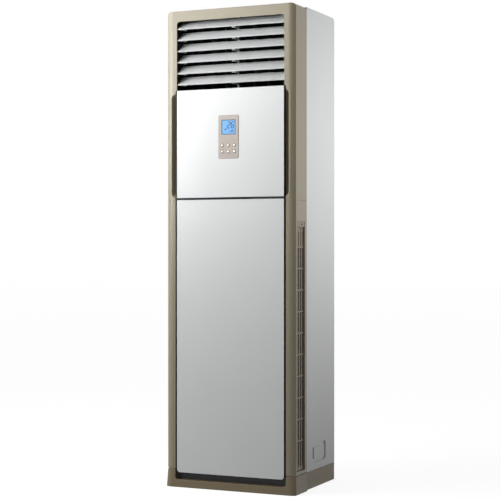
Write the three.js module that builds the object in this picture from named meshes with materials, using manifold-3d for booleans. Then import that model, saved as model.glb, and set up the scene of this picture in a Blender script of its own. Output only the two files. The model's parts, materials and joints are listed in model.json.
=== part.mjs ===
// Floor standing air conditioner, the indoor unit of a split system.
// Millimetres, +Z up, the front looks along -Y, the origin is on the floor under the middle.
//
// Air enters through the grille on each side of the lower cabinet, a centrifugal fan lifts it
// through a sloping evaporator, and it leaves through a bank of linked louvres at the top.
import * as THREE from "three";
import { mergeVertices } from "three/addons/utils/BufferGeometryUtils.js";
import Module from "manifold-3d";

const wasm = await Module();
wasm.setup();

// ---------------------------------------------------------------- sizes

// Overall
const CABINET_HEIGHT = 1825;
const OVERALL_WIDTH = 540;
const OVERALL_DEPTH = 410;
const FIT = 0.3;

// How far the front pieces stand out, one before the other
const PANEL_PROUD = 1.5;
const PANEL_CROWN = 2;
const BEZEL_PROUD = 1;
const BUTTON_PROUD = 1.5;

// Base skirt
const SKIRT_HEIGHT = 69.5;
const SKIRT_FLARE_SIDE = 3;
const SKIRT_FLARE_FRONT = 5.6;
const SKIRT_GROOVE = 2.8;
const RECESS_BOTTOM = 29;
const RECESS_DEPTH = 25;
const RECESS_RADIUS = 12;

// Plastic frames
const PLASTIC_WALL = 3;
const CORNER_RUN = 27;
const CORNER_DROP = 9.5;
const CORNER_STEPS = 5;
const WRAP_DEPTH = 104.5;
const TOP_CORNER_RADIUS = 14;
const SEAM_GAP = 1;
const LIP_HEIGHT = 6;
const LIP_THICKNESS = 2;
const LEDGE_WIDTH = 18;
const BAR_HEIGHT = 26;
const COLUMN_WIDTH = 37;

// Front panels
const PANEL_GAP = 7;
const PANEL_WALL = 2.5;
const PANEL_DEPTH = 18.2;
const PANEL_CORNER_RADIUS = 13;
const CROWN_STEPS = 8;
const UPPER_PANEL_HEIGHT = 411.5;
const LOWER_PANEL_BOTTOM = 57;
const LOWER_PANEL_RIBS = 5;
const RIB_THICKNESS = 2;
const RIB_PITCH = 42;
const RIB_CLEARANCE = 28;
const STRIP_HEIGHT = 8.5;
const STRIP_SETBACK = 2.5;
const SEAM_BELOW_STRIP = 5;

// Finger scallops beside the upper panel
const SCALLOP_WIDTH = 16;
const SCALLOP_LOW_MARGIN = 1.5;
const SCALLOP_HIGH_MARGIN = 13;
const SCALLOP_RADIUS = 17;
const SCALLOP_TAPER = 15;

// Air outlet
const OUTLET_MARGIN = 6;
const OUTLET_HEADER = 40;
const OUTLET_HEIGHT = 265;
const OUTLET_RADIUS = 12;
const DUCT_WALL = 3;
const DUCT_SIDE_GAP = 2;
const DUCT_FLANGE = 6;
const DUCT_DROP = 8;
const DUCT_RISE = 23;
const DUCT_DEPTH = 147;
const FOAM_THICKNESS = 5;
const FOAM_BELOW_DUCT = 54;
const FOAM_TOP_RADIUS = 20;

// Louvres
const LOUVRE_COUNT = 6;
const LOUVRE_PITCH = 42.7;
const LOUVRE_CHORD = 61.6;
const LOUVRE_OFFSET = 16;
const LOUVRE_THICKNESS = 2.5;
const LOUVRE_LIP = 4;
const LOUVRE_REST = 34;
const LOUVRE_SETBACK = 2.5;
const LOUVRE_END_GAP = 1.5;
const LOUVRE_HEADROOM = 30;
const CHEEK_THICKNESS = 3;
const CHEEK_INSET = 11;
const PIN_RADIUS = 3;
const PIN_PLAY = 0.3;
const CRANK_RADIUS = 41;
const CRANK_PIN_RADIUS = 2;
const CRANK_INSET = 18.5;
const LINK_WIDTH = 8;
const LINK_THICKNESS = 2.5;
const HOOK_THICKNESS = 5;
const HOOK_HALF_HEIGHT = 4.5;
const SUPPORT_BAR = 5.5;
const MOTOR_RADIUS = 17;
const MOTOR_LENGTH = 18;

// Vertical vanes
const VANE_COUNT = 7;
const VANE_SIDE_ROOM = 46;
const VANE_CHORD = 52;
const VANE_THICKNESS = 2;
const VANE_PIVOT_DEPTH = 118;
const VANE_END_GAP = 4;
const VANE_CRANK = 20;
const VANE_NOTCH_HEIGHT = 14;

// Display
const BEZEL_WIDTH = 82;
const BEZEL_HEIGHT = 162;
const BEZEL_BELOW_TOP = 103;
const BEZEL_CENTRE = -3;
const BEZEL_RADIUS = 5;
const BEZEL_WALL = 3;
const BEZEL_COLLAR = 13;
const COLLAR_INSET = 3;
const LCD_WIDTH = 59;
const LCD_HEIGHT = 57;
const LCD_BELOW_TOP = 44;
const LCD_RECESS = 0.5;
const LCD_BODY = 4;
const BOARD_THICKNESS = 1.6;
const BUTTON_RADIUS = 7.2;
const BUTTON_FLANGE = 1.3;
const BUTTON_PITCH = 25;
const BUTTON_ROW_PITCH = 24;
const BUTTONS_BELOW_TOP = 113;
const BUTTON_STROKE = 1;

// Intake grilles
const WINDOW_FRONT = 6.5;
const WINDOW_BACK = 86;
const WINDOW_BOTTOM = 85;
const WINDOW_BELOW_SEAM = 79;
const JAMB = 2;
const GRILLE_GAP = 0.4;
const GRILLE_RECESS = 5.9;
const GRILLE_THICKNESS = 6;
const GRILLE_COLUMNS = 4;
const GRILLE_PITCH = 19;
const GRILLE_SLOT = 9.5;
const GRILLE_RAIL = 5;
const GRILLE_HEAD = 96;
const GRILLE_GROOVE_HEIGHT = 58;
const GRILLE_LOW_RAIL = 197.3;
const GRILLE_ROWS = 10;
const GRILLE_RIB = 1;
const SILL_HEIGHT = 30;
const GRILLE_PIN_RADIUS = 2.5;
const GRILLE_PIN_HEIGHT = 7;
const FILTER_THICKNESS = 6;

// Sheet metal cabinet
const SHEET = 1.5;
const FOLD = 15;
const PANEL_GROOVE = 0.5;
const REAR_TOP_RADIUS = 20;
const TOP_SKIRT = 35;
const REAR_SEAM_RISE = 20;
const BEAD_COUNT = 3;
const BEAD_WIDTH = 18;
const BEAD_RADIUS = 8;
const BEAD_SIDE_MARGIN = 60;
const BEAD_GAP = 0.2;
const KNOCKOUT_BOTTOM = 96;
const KNOCKOUT_HEIGHT = 75;
const KNOCKOUT_WIDTH = 136;
const KNOCKOUT_FROM_BACK = 95;
const KNOCKOUT_DEPTH = 4;
const KNOCKOUT_LAND = 16;
const KNOCKOUT_RADIUS = 14;
const TRAY_WALL = 2;
const TRAY_FRONT = 48;
const FOOT_RADIUS = 20;
const FOOT_STUD = 3;
const FOOT_INSET = 45;

// Fan
const FAN_HEIGHT = 330;
const FAN_FRONT = 154;
const BLADE_COUNT = 20;
const BLADE_DEPTH = 30;
const BLADE_THICKNESS = 2;
const BLADE_BULGE = 7;
const SCROLL_SIDE_ROOM = 18;
const SCROLL_CLEARANCE = 17;
const SCROLL_GROWTH = 63;
const SCROLL_CUTOFF = 70;
const SCROLL_STEPS = 16;
const SCROLL_WALL = 2.5;
const LEG_INNER = 110;
const LEG_WIDTH = 40;
const LEG_OVERLAP = 100;
const IMPELLER_END_GAP = 7;
const INLET_LAP = 10;
const SHAFT_RADIUS = 7;
const FAN_MOTOR_RADIUS = 62;
const FAN_MOTOR_LENGTH = 78;
const FAN_MOTOR_REAR_ROOM = 25.6;

// Heat exchanger and shelf
const SHELF_BELOW_SEAM = 155;
const SHELF_FOLD = 22;
const SHELF_TONGUE = 40;
const COIL_SIDE_ROOM = 51.5;
const COIL_LENGTH = 500;
const COIL_THICKNESS = 46;
const COIL_TILT = 22;
const COIL_BEHIND_FAN_FRONT = 66.7;
const COIL_FOOT = 12;
const COIL_END_PLATE = 2;
const COIL_PLATE_MARGIN = 4;
const FIN_GROOVES = 8;
const BEND_COUNT = 4;
const BEND_MARGIN = 60;
const BEND_RADIUS = 12;
const TUBE_RADIUS = 5;
const PAN_DEPTH = 34;
const PAN_MARGIN = 15;
const SUCTION_RADIUS = 8;
const PIPE_SIDE_ROOM = 29.5;
const PIPE_BEHIND_COIL = 37;
const PIPE_SPACING = 25;
const PIPE_END = 16;
const PIPE_EXIT_SIDE_ROOM = 53.5;
const PIPE_EXIT_Z = 150;
const PIPE_EXIT_RADIUS = 36;
const LIQUID_RADIUS = 5;

// Control box
const BOX_WIDTH = 250;
const BOX_HEIGHT = 200;
const BOX_DEPTH = 60;
const BOX_CENTRE = -70;
const BOX_GAP = 8;
const POST_INSET = 25;
const POST_HEIGHT = 10;
const POST_RADIUS = 4;
const BOARD_MARGIN = 12;
const COMPONENT_MARGIN = 35;
const COMPONENT_GAP = 20;
const COMPONENT_RISE = 40;
const TRANSFORMER_WIDTH = 50;
const TRANSFORMER_HEIGHT = 40;
const TRANSFORMER_DEPTH = 26;
const RELAY_WIDTH = 25;
const RELAY_HEIGHT = 30;
const RELAY_DEPTH = 16;
const CAPACITOR_RADIUS = 9;
const CAPACITOR_HEIGHT = 22;
const CAPACITOR_PITCH = 25;
const TERMINAL_HEIGHT = 15;
const TERMINAL_DEPTH = 10;

// ---------------------------------------------------------------- derived places

const HALF_WIDTH = OVERALL_WIDTH / 2 - SKIRT_FLARE_SIDE;
const OUTLET_TOP = CABINET_HEIGHT - OUTLET_HEADER;
const UPPER_PANEL_TOP = OUTLET_TOP - OUTLET_HEIGHT;
const UPPER_PANEL_BOTTOM = UPPER_PANEL_TOP - UPPER_PANEL_HEIGHT;
const LOWER_PANEL_TOP = UPPER_PANEL_BOTTOM - STRIP_HEIGHT;
const SEAM_HEIGHT = LOWER_PANEL_TOP - SEAM_BELOW_STRIP;
const DUCT_FLOOR = UPPER_PANEL_TOP - DUCT_DROP;
const DUCT_ROOF = OUTLET_TOP + DUCT_RISE;
const SCALLOP_BOTTOM = UPPER_PANEL_BOTTOM + SCALLOP_LOW_MARGIN;
const SCALLOP_TOP = UPPER_PANEL_TOP - SCALLOP_HIGH_MARGIN;
const BEZEL_TOP = UPPER_PANEL_TOP - BEZEL_BELOW_TOP;
const BEZEL_BOTTOM = BEZEL_TOP - BEZEL_HEIGHT;
const LCD_CENTRE_Z = BEZEL_TOP - LCD_BELOW_TOP;
const BUTTON_TOP_ROW = BEZEL_TOP - BUTTONS_BELOW_TOP;
const WINDOW_TOP = SEAM_HEIGHT - WINDOW_BELOW_SEAM;
const GRILLE_TOP_RAIL = WINDOW_TOP - GRILLE_HEAD;
const GRILLE_ROW_PITCH = (GRILLE_TOP_RAIL - GRILLE_LOW_RAIL) / (GRILLE_ROWS - 1);
const SHELF_HEIGHT = SEAM_HEIGHT - SHELF_BELOW_SEAM;
const REAR_SEAM = SHELF_HEIGHT + REAR_SEAM_RISE;
const BACK_Y = OVERALL_DEPTH / 2;
const FRONT_Y = -OVERALL_DEPTH / 2 + PANEL_PROUD + PANEL_CROWN + FIT + BEZEL_PROUD + BUTTON_PROUD;
const CREASE_Y = FRONT_Y + CORNER_DROP;
const WRAP_BACK_Y = CREASE_Y + WRAP_DEPTH;
const PANEL_EDGE_Y = FRONT_Y - PANEL_PROUD;
const PANEL_PEAK_Y = PANEL_EDGE_Y - PANEL_CROWN;
const COLUMN_EDGE = HALF_WIDTH - COLUMN_WIDTH;
const PANEL_HALF = COLUMN_EDGE - PANEL_GAP;
const OUTLET_HALF_WIDTH = COLUMN_EDGE - OUTLET_MARGIN;
const PANEL_BACK_Y = PANEL_EDGE_Y + PANEL_DEPTH;
const LEDGE_Y = PANEL_BACK_Y + FIT;
const LEDGE_BACK_Y = LEDGE_Y + PLASTIC_WALL;
const LOWER_FRAME_BOTTOM = SKIRT_HEIGHT + SKIRT_GROOVE;
const WINDOW_FRONT_Y = CREASE_Y + WINDOW_FRONT;
const WINDOW_BACK_Y = CREASE_Y + WINDOW_BACK;
const DUCT_FRONT_Y = FRONT_Y + PLASTIC_WALL + FIT;
const DUCT_BACK_Y = DUCT_FRONT_Y + DUCT_DEPTH;
const DUCT_HALF = OUTLET_HALF_WIDTH + DUCT_SIDE_GAP;
const LOUVRE_REACH = Math.hypot(LOUVRE_CHORD / 2, LOUVRE_OFFSET);
const LOUVRE_SWING = Math.hypot(LOUVRE_CHORD / 2, LOUVRE_OFFSET + LOUVRE_THICKNESS);
const LOUVRE_Y = FRONT_Y + LOUVRE_SETBACK + LOUVRE_REACH;
const REST_TURN = THREE.MathUtils.degToRad(LOUVRE_REST);
const LOUVRE_EDGE_RISE = LOUVRE_OFFSET * Math.cos(REST_TURN) - (LOUVRE_CHORD / 2) * Math.sin(REST_TURN);
const TOP_PIVOT_Z = OUTLET_TOP - LOUVRE_HEADROOM - LOUVRE_EDGE_RISE;
const LOUVRE_END = OUTLET_HALF_WIDTH - LOUVRE_END_GAP;
const CRANK_X = -(LOUVRE_END - CRANK_INSET);
const VANE_Y = FRONT_Y + VANE_PIVOT_DEPTH;
const VANE_PITCH = (2 * (DUCT_HALF - VANE_SIDE_ROOM)) / (VANE_COUNT - 1);
const METAL_FRONT_Y = WRAP_BACK_Y + PANEL_GROOVE;
const METAL_BOTTOM = SKIRT_HEIGHT + 1;
const METAL_INNER = HALF_WIDTH - SHEET;
const REAR_SHEET_Y = BACK_Y - SHEET - FIT;
const TRAY_HALF = HALF_WIDTH - PLASTIC_WALL - FIT;
const TRAY_BOTTOM = PLASTIC_WALL + FIT;
const TRAY_FRONT_Y = FRONT_Y + TRAY_FRONT;
const TRAY_TOP = METAL_BOTTOM - FIT;
const FAN_FRONT_Y = FRONT_Y + FAN_FRONT;
const IMPELLER_RADIUS = METAL_INNER - SCROLL_SIDE_ROOM - SCROLL_WALL - SCROLL_GROWTH - SCROLL_CLEARANCE;
const INLET_RADIUS = IMPELLER_RADIUS - BLADE_DEPTH - INLET_LAP;
const FAN_MOTOR_END_Y = REAR_SHEET_Y - SHEET - FAN_MOTOR_REAR_ROOM;
const FAN_BACK_Y = FAN_MOTOR_END_Y - FAN_MOTOR_LENGTH - FIT - SCROLL_WALL;
const IMPELLER_WIDTH = FAN_BACK_Y - FAN_FRONT_Y - 2 * IMPELLER_END_GAP;
const SCROLL_START = IMPELLER_RADIUS + SCROLL_CLEARANCE;
const SCROLL_END = SCROLL_START + SCROLL_GROWTH;
const SHELF_TOP = SHELF_HEIGHT + SHEET;
const COIL_HALF_WIDTH = METAL_INNER - COIL_SIDE_ROOM;
const PIPE_X = -(METAL_INNER - PIPE_SIDE_ROOM);
const PIPE_EXIT_X = -(METAL_INNER - PIPE_EXIT_SIDE_ROOM);
const COIL_CENTRE_Y = FAN_FRONT_Y + COIL_BEHIND_FAN_FRONT;
const PIPE_Y = COIL_CENTRE_Y + PIPE_BEHIND_COIL;
const COIL_TURN = THREE.MathUtils.degToRad(COIL_TILT);
const COIL_HALF_DEPTH = COIL_THICKNESS / 2 + COIL_PLATE_MARGIN;
const COIL_RISE = COIL_LENGTH / 2 + COIL_PLATE_MARGIN;
const COIL_CENTRE_Z =
  SHELF_TOP + COIL_FOOT + COIL_RISE * Math.cos(COIL_TURN) + COIL_HALF_DEPTH * Math.sin(COIL_TURN);
const GRILLE_FACE = HALF_WIDTH - GRILLE_RECESS;
const GRILLE_BACK = GRILLE_FACE - GRILLE_THICKNESS;
const BEZEL_BACK_Y = PANEL_PEAK_Y - FIT;
const BEZEL_FACE_Y = BEZEL_BACK_Y - BEZEL_PROUD;
const BEZEL_INNER_Y = BEZEL_FACE_Y + BEZEL_WALL;

// ---------------------------------------------------------------- materials

const look = (color, roughness, metalness) =>
  new THREE.MeshStandardMaterial({ color, roughness, metalness });
const CHAMPAGNE = look("#a8a18c", 0.45, 0.25);
const DARK_CHAMPAGNE = look("#7a715d", 0.5, 0.2);
const GLOSS_PANEL = look("#e6e8e8", 0.15, 0.1);
const POLISHED = look("#c9cccd", 0.08, 0.9);
const PAINTED_STEEL = look("#d3d6d6", 0.4, 0.1);
const GALVANISED = look("#b4b8bb", 0.4, 0.8);
const LOUVRE_GREY = look("#d8dada", 0.4, 0.0);
const BLACK_PLASTIC = look("#141414", 0.6, 0.0);
const BLACK_FOAM = look("#0b0b0b", 0.95, 0.0);
const WHITE_PLASTIC = look("#e8e8e4", 0.5, 0.0);
const RUBBER = look("#1d1d1d", 0.9, 0.0);
const BEZEL_ROSE = look("#cfc2b8", 0.35, 0.4);
const LCD_BLUE = look("#96c8f5", 0.1, 0.0);
const BOARD_GREEN = look("#1f5a3a", 0.5, 0.0);
const FIN_ALUMINIUM = look("#9fb7c4", 0.35, 0.7);
const COPPER = look("#b8693f", 0.3, 0.9);
const FILTER_MESH = look("#3a3d40", 0.8, 0.0);

// ---------------------------------------------------------------- solids

// A closed geometry as a solid that can be joined and cut.
function solid(geometry) {
  const plain = geometry.index ? geometry.toNonIndexed() : geometry;
  const bare = new THREE.BufferGeometry();
  bare.setAttribute("position", plain.getAttribute("position"));
  const merged = mergeVertices(bare, 1e-3);
  return new wasm.Manifold(
    new wasm.Mesh({
      numProp: 3,
      vertProperties: merged.attributes.position.array,
      triVerts: new Uint32Array(merged.index.array),
    }),
  );
}

const join = (...solids) => solids.reduce((whole, piece) => whole.add(piece));
const cut = (whole, ...tools) => tools.reduce((rest, tool) => rest.subtract(tool), whole);
const meet = (a, b) => a.intersect(b);

// A solid as a named mesh with its material.
function mesh(name, shape, material) {
  const made = shape.getMesh();
  const geometry = new THREE.BufferGeometry();
  geometry.setAttribute("position", new THREE.BufferAttribute(made.vertProperties, 3));
  geometry.setIndex(new THREE.BufferAttribute(made.triVerts, 1));
  geometry.computeVertexNormals();
  const node = new THREE.Mesh(geometry, material);
  node.name = name;
  return node;
}

// A box between two values on each axis, given in either order.
function box(x0, x1, y0, y1, z0, z1) {
  const geometry = new THREE.BoxGeometry(Math.abs(x1 - x0), Math.abs(y1 - y0), Math.abs(z1 - z0));
  geometry.translate((x0 + x1) / 2, (y0 + y1) / 2, (z0 + z1) / 2);
  return solid(geometry);
}

// A closed outline through corners [x, y, radius]; the radius is optional.
function outline(corners, steps = 4) {
  const points = [];
  corners.forEach(([x, y, radius = 0], i) => {
    const here = new THREE.Vector2(x, y);
    if (radius <= 0) {
      points.push(here);
      return;
    }
    const [bx, by] = corners[(i + corners.length - 1) % corners.length];
    const [ax, ay] = corners[(i + 1) % corners.length];
    const back = new THREE.Vector2(bx - x, by - y).normalize();
    const ahead = new THREE.Vector2(ax - x, ay - y).normalize();
    const half = Math.acos(back.dot(ahead)) / 2;
    const centre = back.clone().add(ahead).normalize().multiplyScalar(radius / Math.sin(half));
    centre.add(here);
    const first = back.clone().multiplyScalar(radius / Math.tan(half)).add(here).sub(centre);
    const last = ahead.clone().multiplyScalar(radius / Math.tan(half)).add(here).sub(centre);
    const sweep = Math.atan2(first.cross(last), first.dot(last));
    for (let k = 0; k <= steps; k++) {
      points.push(first.clone().rotateAround(new THREE.Vector2(), (sweep * k) / steps).add(centre));
    }
  });
  return new THREE.Shape(points);
}

const rectangle = (x0, x1, y0, y1, radius = 0, steps = 4) =>
  outline([[x0, y0, radius], [x1, y0, radius], [x1, y1, radius], [x0, y1, radius]], steps);

function extrude(shape, from, to, matrix) {
  const geometry = new THREE.ExtrudeGeometry(shape, { depth: Math.abs(to - from), bevelEnabled: false });
  geometry.translate(0, 0, Math.min(from, to));
  if (matrix) geometry.applyMatrix4(matrix);
  return solid(geometry);
}

const ALONG_X = new THREE.Matrix4().set(0, 0, 1, 0, 1, 0, 0, 0, 0, 1, 0, 0, 0, 0, 0, 1);
const ALONG_Y = new THREE.Matrix4().set(1, 0, 0, 0, 0, 0, -1, 0, 0, 1, 0, 0, 0, 0, 0, 1);

// An outline in (y, z) drawn out along X, one in (x, z) along Y, one in (x, y) along Z.
const prismX = (shape, x0, x1) => extrude(shape, x0, x1, ALONG_X);
const prismY = (shape, y0, y1) => extrude(shape, -y1, -y0, ALONG_Y);
const prismZ = (shape, z0, z1) => extrude(shape, z0, z1);

// Round rods between two values on one axis; the other two numbers place the centre line.
function rod(axis, radius, from, to, a, b, sides = 16) {
  const geometry = new THREE.CylinderGeometry(radius, radius, Math.abs(to - from), sides);
  const middle = (from + to) / 2;
  if (axis === "x") geometry.rotateZ(Math.PI / 2).translate(middle, a, b);
  if (axis === "y") geometry.translate(a, middle, b);
  if (axis === "z") geometry.rotateX(Math.PI / 2).translate(a, b, middle);
  return solid(geometry);
}

// A round hole whose flats still clear a pin of this radius.
const bore = (axis, radius, from, to, a, b, sides) =>
  rod(axis, radius / Math.cos(Math.PI / sides), from, to, a, b, sides);

// A profile of [radius, distance] points turned about a line along Y through (x, z).
function turned(profile, x, z, sides) {
  const points = profile.map(([r, d]) => new THREE.Vector2(r, d));
  return solid(new THREE.LatheGeometry(points, sides).translate(x, 0, z));
}

// A closed skin over rings of points from low to high, each with as many points as the next.
function loft(rings) {
  const plan = rings[0].map(([x, y]) => new THREE.Vector2(x, y));
  if (THREE.ShapeUtils.isClockWise(plan)) return loft(rings.map((ring) => [...ring].reverse()));
  const count = plan.length;
  const index = [];
  for (let r = 0; r + 1 < rings.length; r++) {
    for (let i = 0; i < count; i++) {
      const a = r * count + i;
      const b = r * count + ((i + 1) % count);
      index.push(a, b, b + count, a, b + count, a + count);
    }
  }
  const top = (rings.length - 1) * count;
  const caps = THREE.ShapeUtils.triangulateShape(plan, []);
  caps.forEach(([a, b, c]) => index.push(c, b, a, top + a, top + b, top + c));
  const geometry = new THREE.BufferGeometry();
  geometry.setAttribute("position", new THREE.Float32BufferAttribute(rings.flat(2), 3));
  geometry.setIndex(index);
  return geometry;
}

// A round bar that follows a row of points, closed at both ends.
function bar(points, radius, sides = 6) {
  const last = points.length - 1;
  const positions = [];
  const normal = new THREE.Vector3();
  points.forEach((point, i) => {
    const along = points[Math.min(i + 1, last)].clone().sub(points[Math.max(i - 1, 0)]).normalize();
    if (i === 0) normal.set(along.y, along.z, along.x);
    normal.addScaledVector(along, -normal.dot(along)).normalize();
    for (let k = 0; k < sides; k++) {
      const arm = normal.clone().applyAxisAngle(along, (k * 2 * Math.PI) / sides);
      positions.push(...arm.multiplyScalar(radius).add(point).toArray());
    }
  });
  const index = [];
  for (let i = 0; i < last; i++) {
    for (let k = 0; k < sides; k++) {
      const a = i * sides + k;
      const b = i * sides + ((k + 1) % sides);
      index.push(a, b, b + sides, a, b + sides, a + sides);
    }
  }
  for (let k = 1; k + 1 < sides; k++) {
    index.push(0, k + 1, k, last * sides, last * sides + k, last * sides + k + 1);
  }
  const geometry = new THREE.BufferGeometry();
  geometry.setAttribute("position", new THREE.Float32BufferAttribute(positions, 3));
  geometry.setIndex(index);
  return solid(geometry);
}

// A quarter turn from one direction to another about a knee, as points for a bar.
function elbow(knee, from, to, radius, steps = 3) {
  const points = [];
  for (let i = 0; i <= steps; i++) {
    const turn = (Math.PI / 2) * (i / steps);
    const out = from.clone().multiplyScalar(radius * (1 - Math.sin(turn)));
    points.push(knee.clone().add(out).addScaledVector(to, radius * (1 - Math.cos(turn))));
  }
  return points;
}

// Evenly spaced places between two values, none of them at either end.
const evenly = (from, to, count) =>
  Array.from({ length: count }, (_, i) => from + ((to - from) * (i + 1)) / (count + 1));

const root = new THREE.Group();

// ---------------------------------------------------------------- plastic front

// The plan of the front from wrap to wrap: flat front, a soft curve at each side that ends in a
// crisp crease, then the straight side. inset moves every wall inwards.
function frontPlan(inset, back = WRAP_BACK_Y) {
  const radius = (CORNER_RUN ** 2 + CORNER_DROP ** 2) / (2 * CORNER_DROP);
  const reach = radius - inset;
  const sweep = Math.asin((CORNER_RUN - inset) / reach);
  const right = [];
  for (let i = 0; i <= CORNER_STEPS; i++) {
    const turn = (sweep * i) / CORNER_STEPS;
    const x = HALF_WIDTH - CORNER_RUN + reach * Math.sin(turn);
    right.push([x, FRONT_Y + radius - reach * Math.cos(turn)]);
  }
  right.push([HALF_WIDTH - inset, back]);
  return [...right, ...right.map(([x, y]) => [-x, y]).reverse()];
}

// A hollow front frame between two heights, open at the back and, unless it is roofed, at both ends.
function frameShell(bottom, top, roofed) {
  const radius = roofed ? TOP_CORNER_RADIUS : 0;
  const face = (inset, low, high) =>
    outline([
      [-HALF_WIDTH + inset, low],
      [HALF_WIDTH - inset, low],
      [HALF_WIDTH - inset, high, Math.max(radius - inset, 0)],
      [-HALF_WIDTH + inset, high, Math.max(radius - inset, 0)],
    ]);
  const outer = meet(
    prismZ(outline(frontPlan(0)), bottom, top),
    prismY(face(0, bottom, top), FRONT_Y - 1, WRAP_BACK_Y + 1),
  );
  const high = roofed ? top - PLASTIC_WALL : top + 1;
  const inner = meet(
    prismZ(outline(frontPlan(PLASTIC_WALL, WRAP_BACK_Y + 1)), bottom - 1, high),
    prismY(face(PLASTIC_WALL, bottom - 2, high), FRONT_Y - 1, WRAP_BACK_Y + 2),
  );
  return cut(outer, inner);
}

// The return wall beside the panels and the ledge that the panels bear on, on both sides.
function panelSeats(bottom, top) {
  const seats = [-1, 1].map((side) =>
    join(
      box(side * COLUMN_EDGE, side * (COLUMN_EDGE + PLASTIC_WALL), FRONT_Y, LEDGE_BACK_Y, bottom, top),
      box(side * (COLUMN_EDGE - LEDGE_WIDTH), side * (COLUMN_EDGE + 1), LEDGE_Y, LEDGE_BACK_Y, bottom, top),
    ),
  );
  return join(...seats);
}

const crossBar = (bottom, top) =>
  box(-COLUMN_EDGE - 1, COLUMN_EDGE + 1, LEDGE_Y, LEDGE_BACK_Y, bottom, top);

// A tucked lip inside each column that carries on into the neighbour above or below.
function columnLip(from, joint, to, back = WRAP_BACK_Y + 1) {
  const ring = (inset, low, high) =>
    cut(
      prismZ(outline(frontPlan(inset)), low, high),
      prismZ(outline(frontPlan(PLASTIC_WALL + FIT + LIP_THICKNESS, WRAP_BACK_Y + 1)), low - 1, high + 1),
    );
  const low = Math.min(from, to);
  const high = Math.max(from, to);
  const heel = ring(PLASTIC_WALL - 0.5, Math.min(from, joint), Math.max(from, joint));
  const tongue = ring(PLASTIC_WALL + FIT, Math.min(joint, to), Math.max(joint, to));
  const middle = COLUMN_EDGE + PLASTIC_WALL + FIT + 2;
  return cut(
    join(heel, tongue),
    box(-middle, middle, FRONT_Y - 1, WRAP_BACK_Y + 1, low - 1, high + 1),
    box(-HALF_WIDTH, HALF_WIDTH, back, WRAP_BACK_Y + 2, low - 1, high + 1),
  );
}

// The scallop beside the panel narrows towards its floor.
function scallop(side, grow) {
  const rim = (y, taper) => {
    const x0 = side * (COLUMN_EDGE - 12);
    const x1 = side * (COLUMN_EDGE + SCALLOP_WIDTH + grow - taper);
    const low = SCALLOP_BOTTOM - grow + taper;
    const high = SCALLOP_TOP + grow - taper;
    const radius = SCALLOP_RADIUS + grow - taper;
    const corners = [[x0, low], [x1, low, radius], [x1, high, radius], [x0, high]];
    return outline(corners).getPoints().map((p) => [p.x, -p.y, y]);
  };
  const slope = SCALLOP_TAPER / (LEDGE_Y - FRONT_Y);
  const front = FRONT_Y + (grow ? 0 : -1);
  const back = LEDGE_Y + (grow ? PLASTIC_WALL : 0);
  const rims = [rim(front, slope * (front - FRONT_Y)), rim(back, slope * (back - FRONT_Y))];
  return solid(loft(rims).rotateX(-Math.PI / 2));
}

function upperFrontFrame() {
  const bottom = SEAM_HEIGHT + SEAM_GAP / 2;
  const outlet = prismY(
    outline([
      [-OUTLET_HALF_WIDTH, UPPER_PANEL_TOP - 1],
      [OUTLET_HALF_WIDTH, UPPER_PANEL_TOP - 1],
      [OUTLET_HALF_WIDTH, OUTLET_TOP, OUTLET_RADIUS],
      [-OUTLET_HALF_WIDTH, OUTLET_TOP, OUTLET_RADIUS],
    ]),
    FRONT_Y - 1,
    FRONT_Y + PLASTIC_WALL + 1,
  );
  const panelWindow = box(-COLUMN_EDGE, COLUMN_EDGE, FRONT_Y - 1, LEDGE_Y, bottom - 1, UPPER_PANEL_TOP);
  const whole = join(
    frameShell(bottom, CABINET_HEIGHT, true),
    panelSeats(bottom, UPPER_PANEL_TOP),
    scallop(-1, PLASTIC_WALL),
    scallop(1, PLASTIC_WALL),
  );
  const opened = cut(whole, outlet, panelWindow, scallop(-1, 0), scallop(1, 0));
  const behind = box(
    -COLUMN_EDGE + LEDGE_WIDTH,
    COLUMN_EDGE - LEDGE_WIDTH,
    LEDGE_Y - 1,
    LEDGE_BACK_Y + 1,
    bottom - 1,
    UPPER_PANEL_TOP,
  );
  return join(
    cut(opened, behind),
    crossBar(bottom, bottom + BAR_HEIGHT),
    crossBar(DUCT_FLOOR - BAR_HEIGHT / 2, UPPER_PANEL_TOP - PANEL_WALL),
  );
}

function lowerFrontFrame() {
  const bottom = LOWER_FRAME_BOTTOM;
  const top = SEAM_HEIGHT - SEAM_GAP / 2;
  const gap = box(-COLUMN_EDGE, COLUMN_EDGE, FRONT_Y - 1, LEDGE_Y, bottom - 1, top + 1);
  let frame = join(
    cut(join(frameShell(bottom, top, false), panelSeats(bottom, top)), gap),
    crossBar(bottom + 2, bottom + 2 + BAR_HEIGHT),
    crossBar((bottom + top) / 2, (bottom + top) / 2 + BAR_HEIGHT),
    crossBar(top - 2 - BAR_HEIGHT, top - 2),
    columnLip(bottom + 8, bottom, SKIRT_HEIGHT - LIP_HEIGHT, TRAY_FRONT_Y - FIT),
    columnLip(top - 8, top, SEAM_HEIGHT + LIP_HEIGHT),
  );
  for (const side of [-1, 1]) {
    const jambs = box(
      side * (GRILLE_BACK - FILTER_THICKNESS),
      side * (HALF_WIDTH - 1),
      WINDOW_FRONT_Y - JAMB,
      WINDOW_BACK_Y + JAMB,
      WINDOW_BOTTOM - JAMB,
      WINDOW_TOP + JAMB,
    );
    const hole = box(
      side * (GRILLE_BACK - FILTER_THICKNESS - 1),
      side * (HALF_WIDTH + 1),
      WINDOW_FRONT_Y,
      WINDOW_BACK_Y,
      WINDOW_BOTTOM,
      WINDOW_TOP,
    );
    const [x, z] = grillePivot(side);
    const bearing = bore("y", GRILLE_PIN_RADIUS + PIN_PLAY, WINDOW_FRONT_Y - 4, WINDOW_BACK_Y + 4, x, z, 12);
    frame = cut(join(frame, jambs), hole, bearing);
  }
  return frame;
}

// ---------------------------------------------------------------- base

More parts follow.
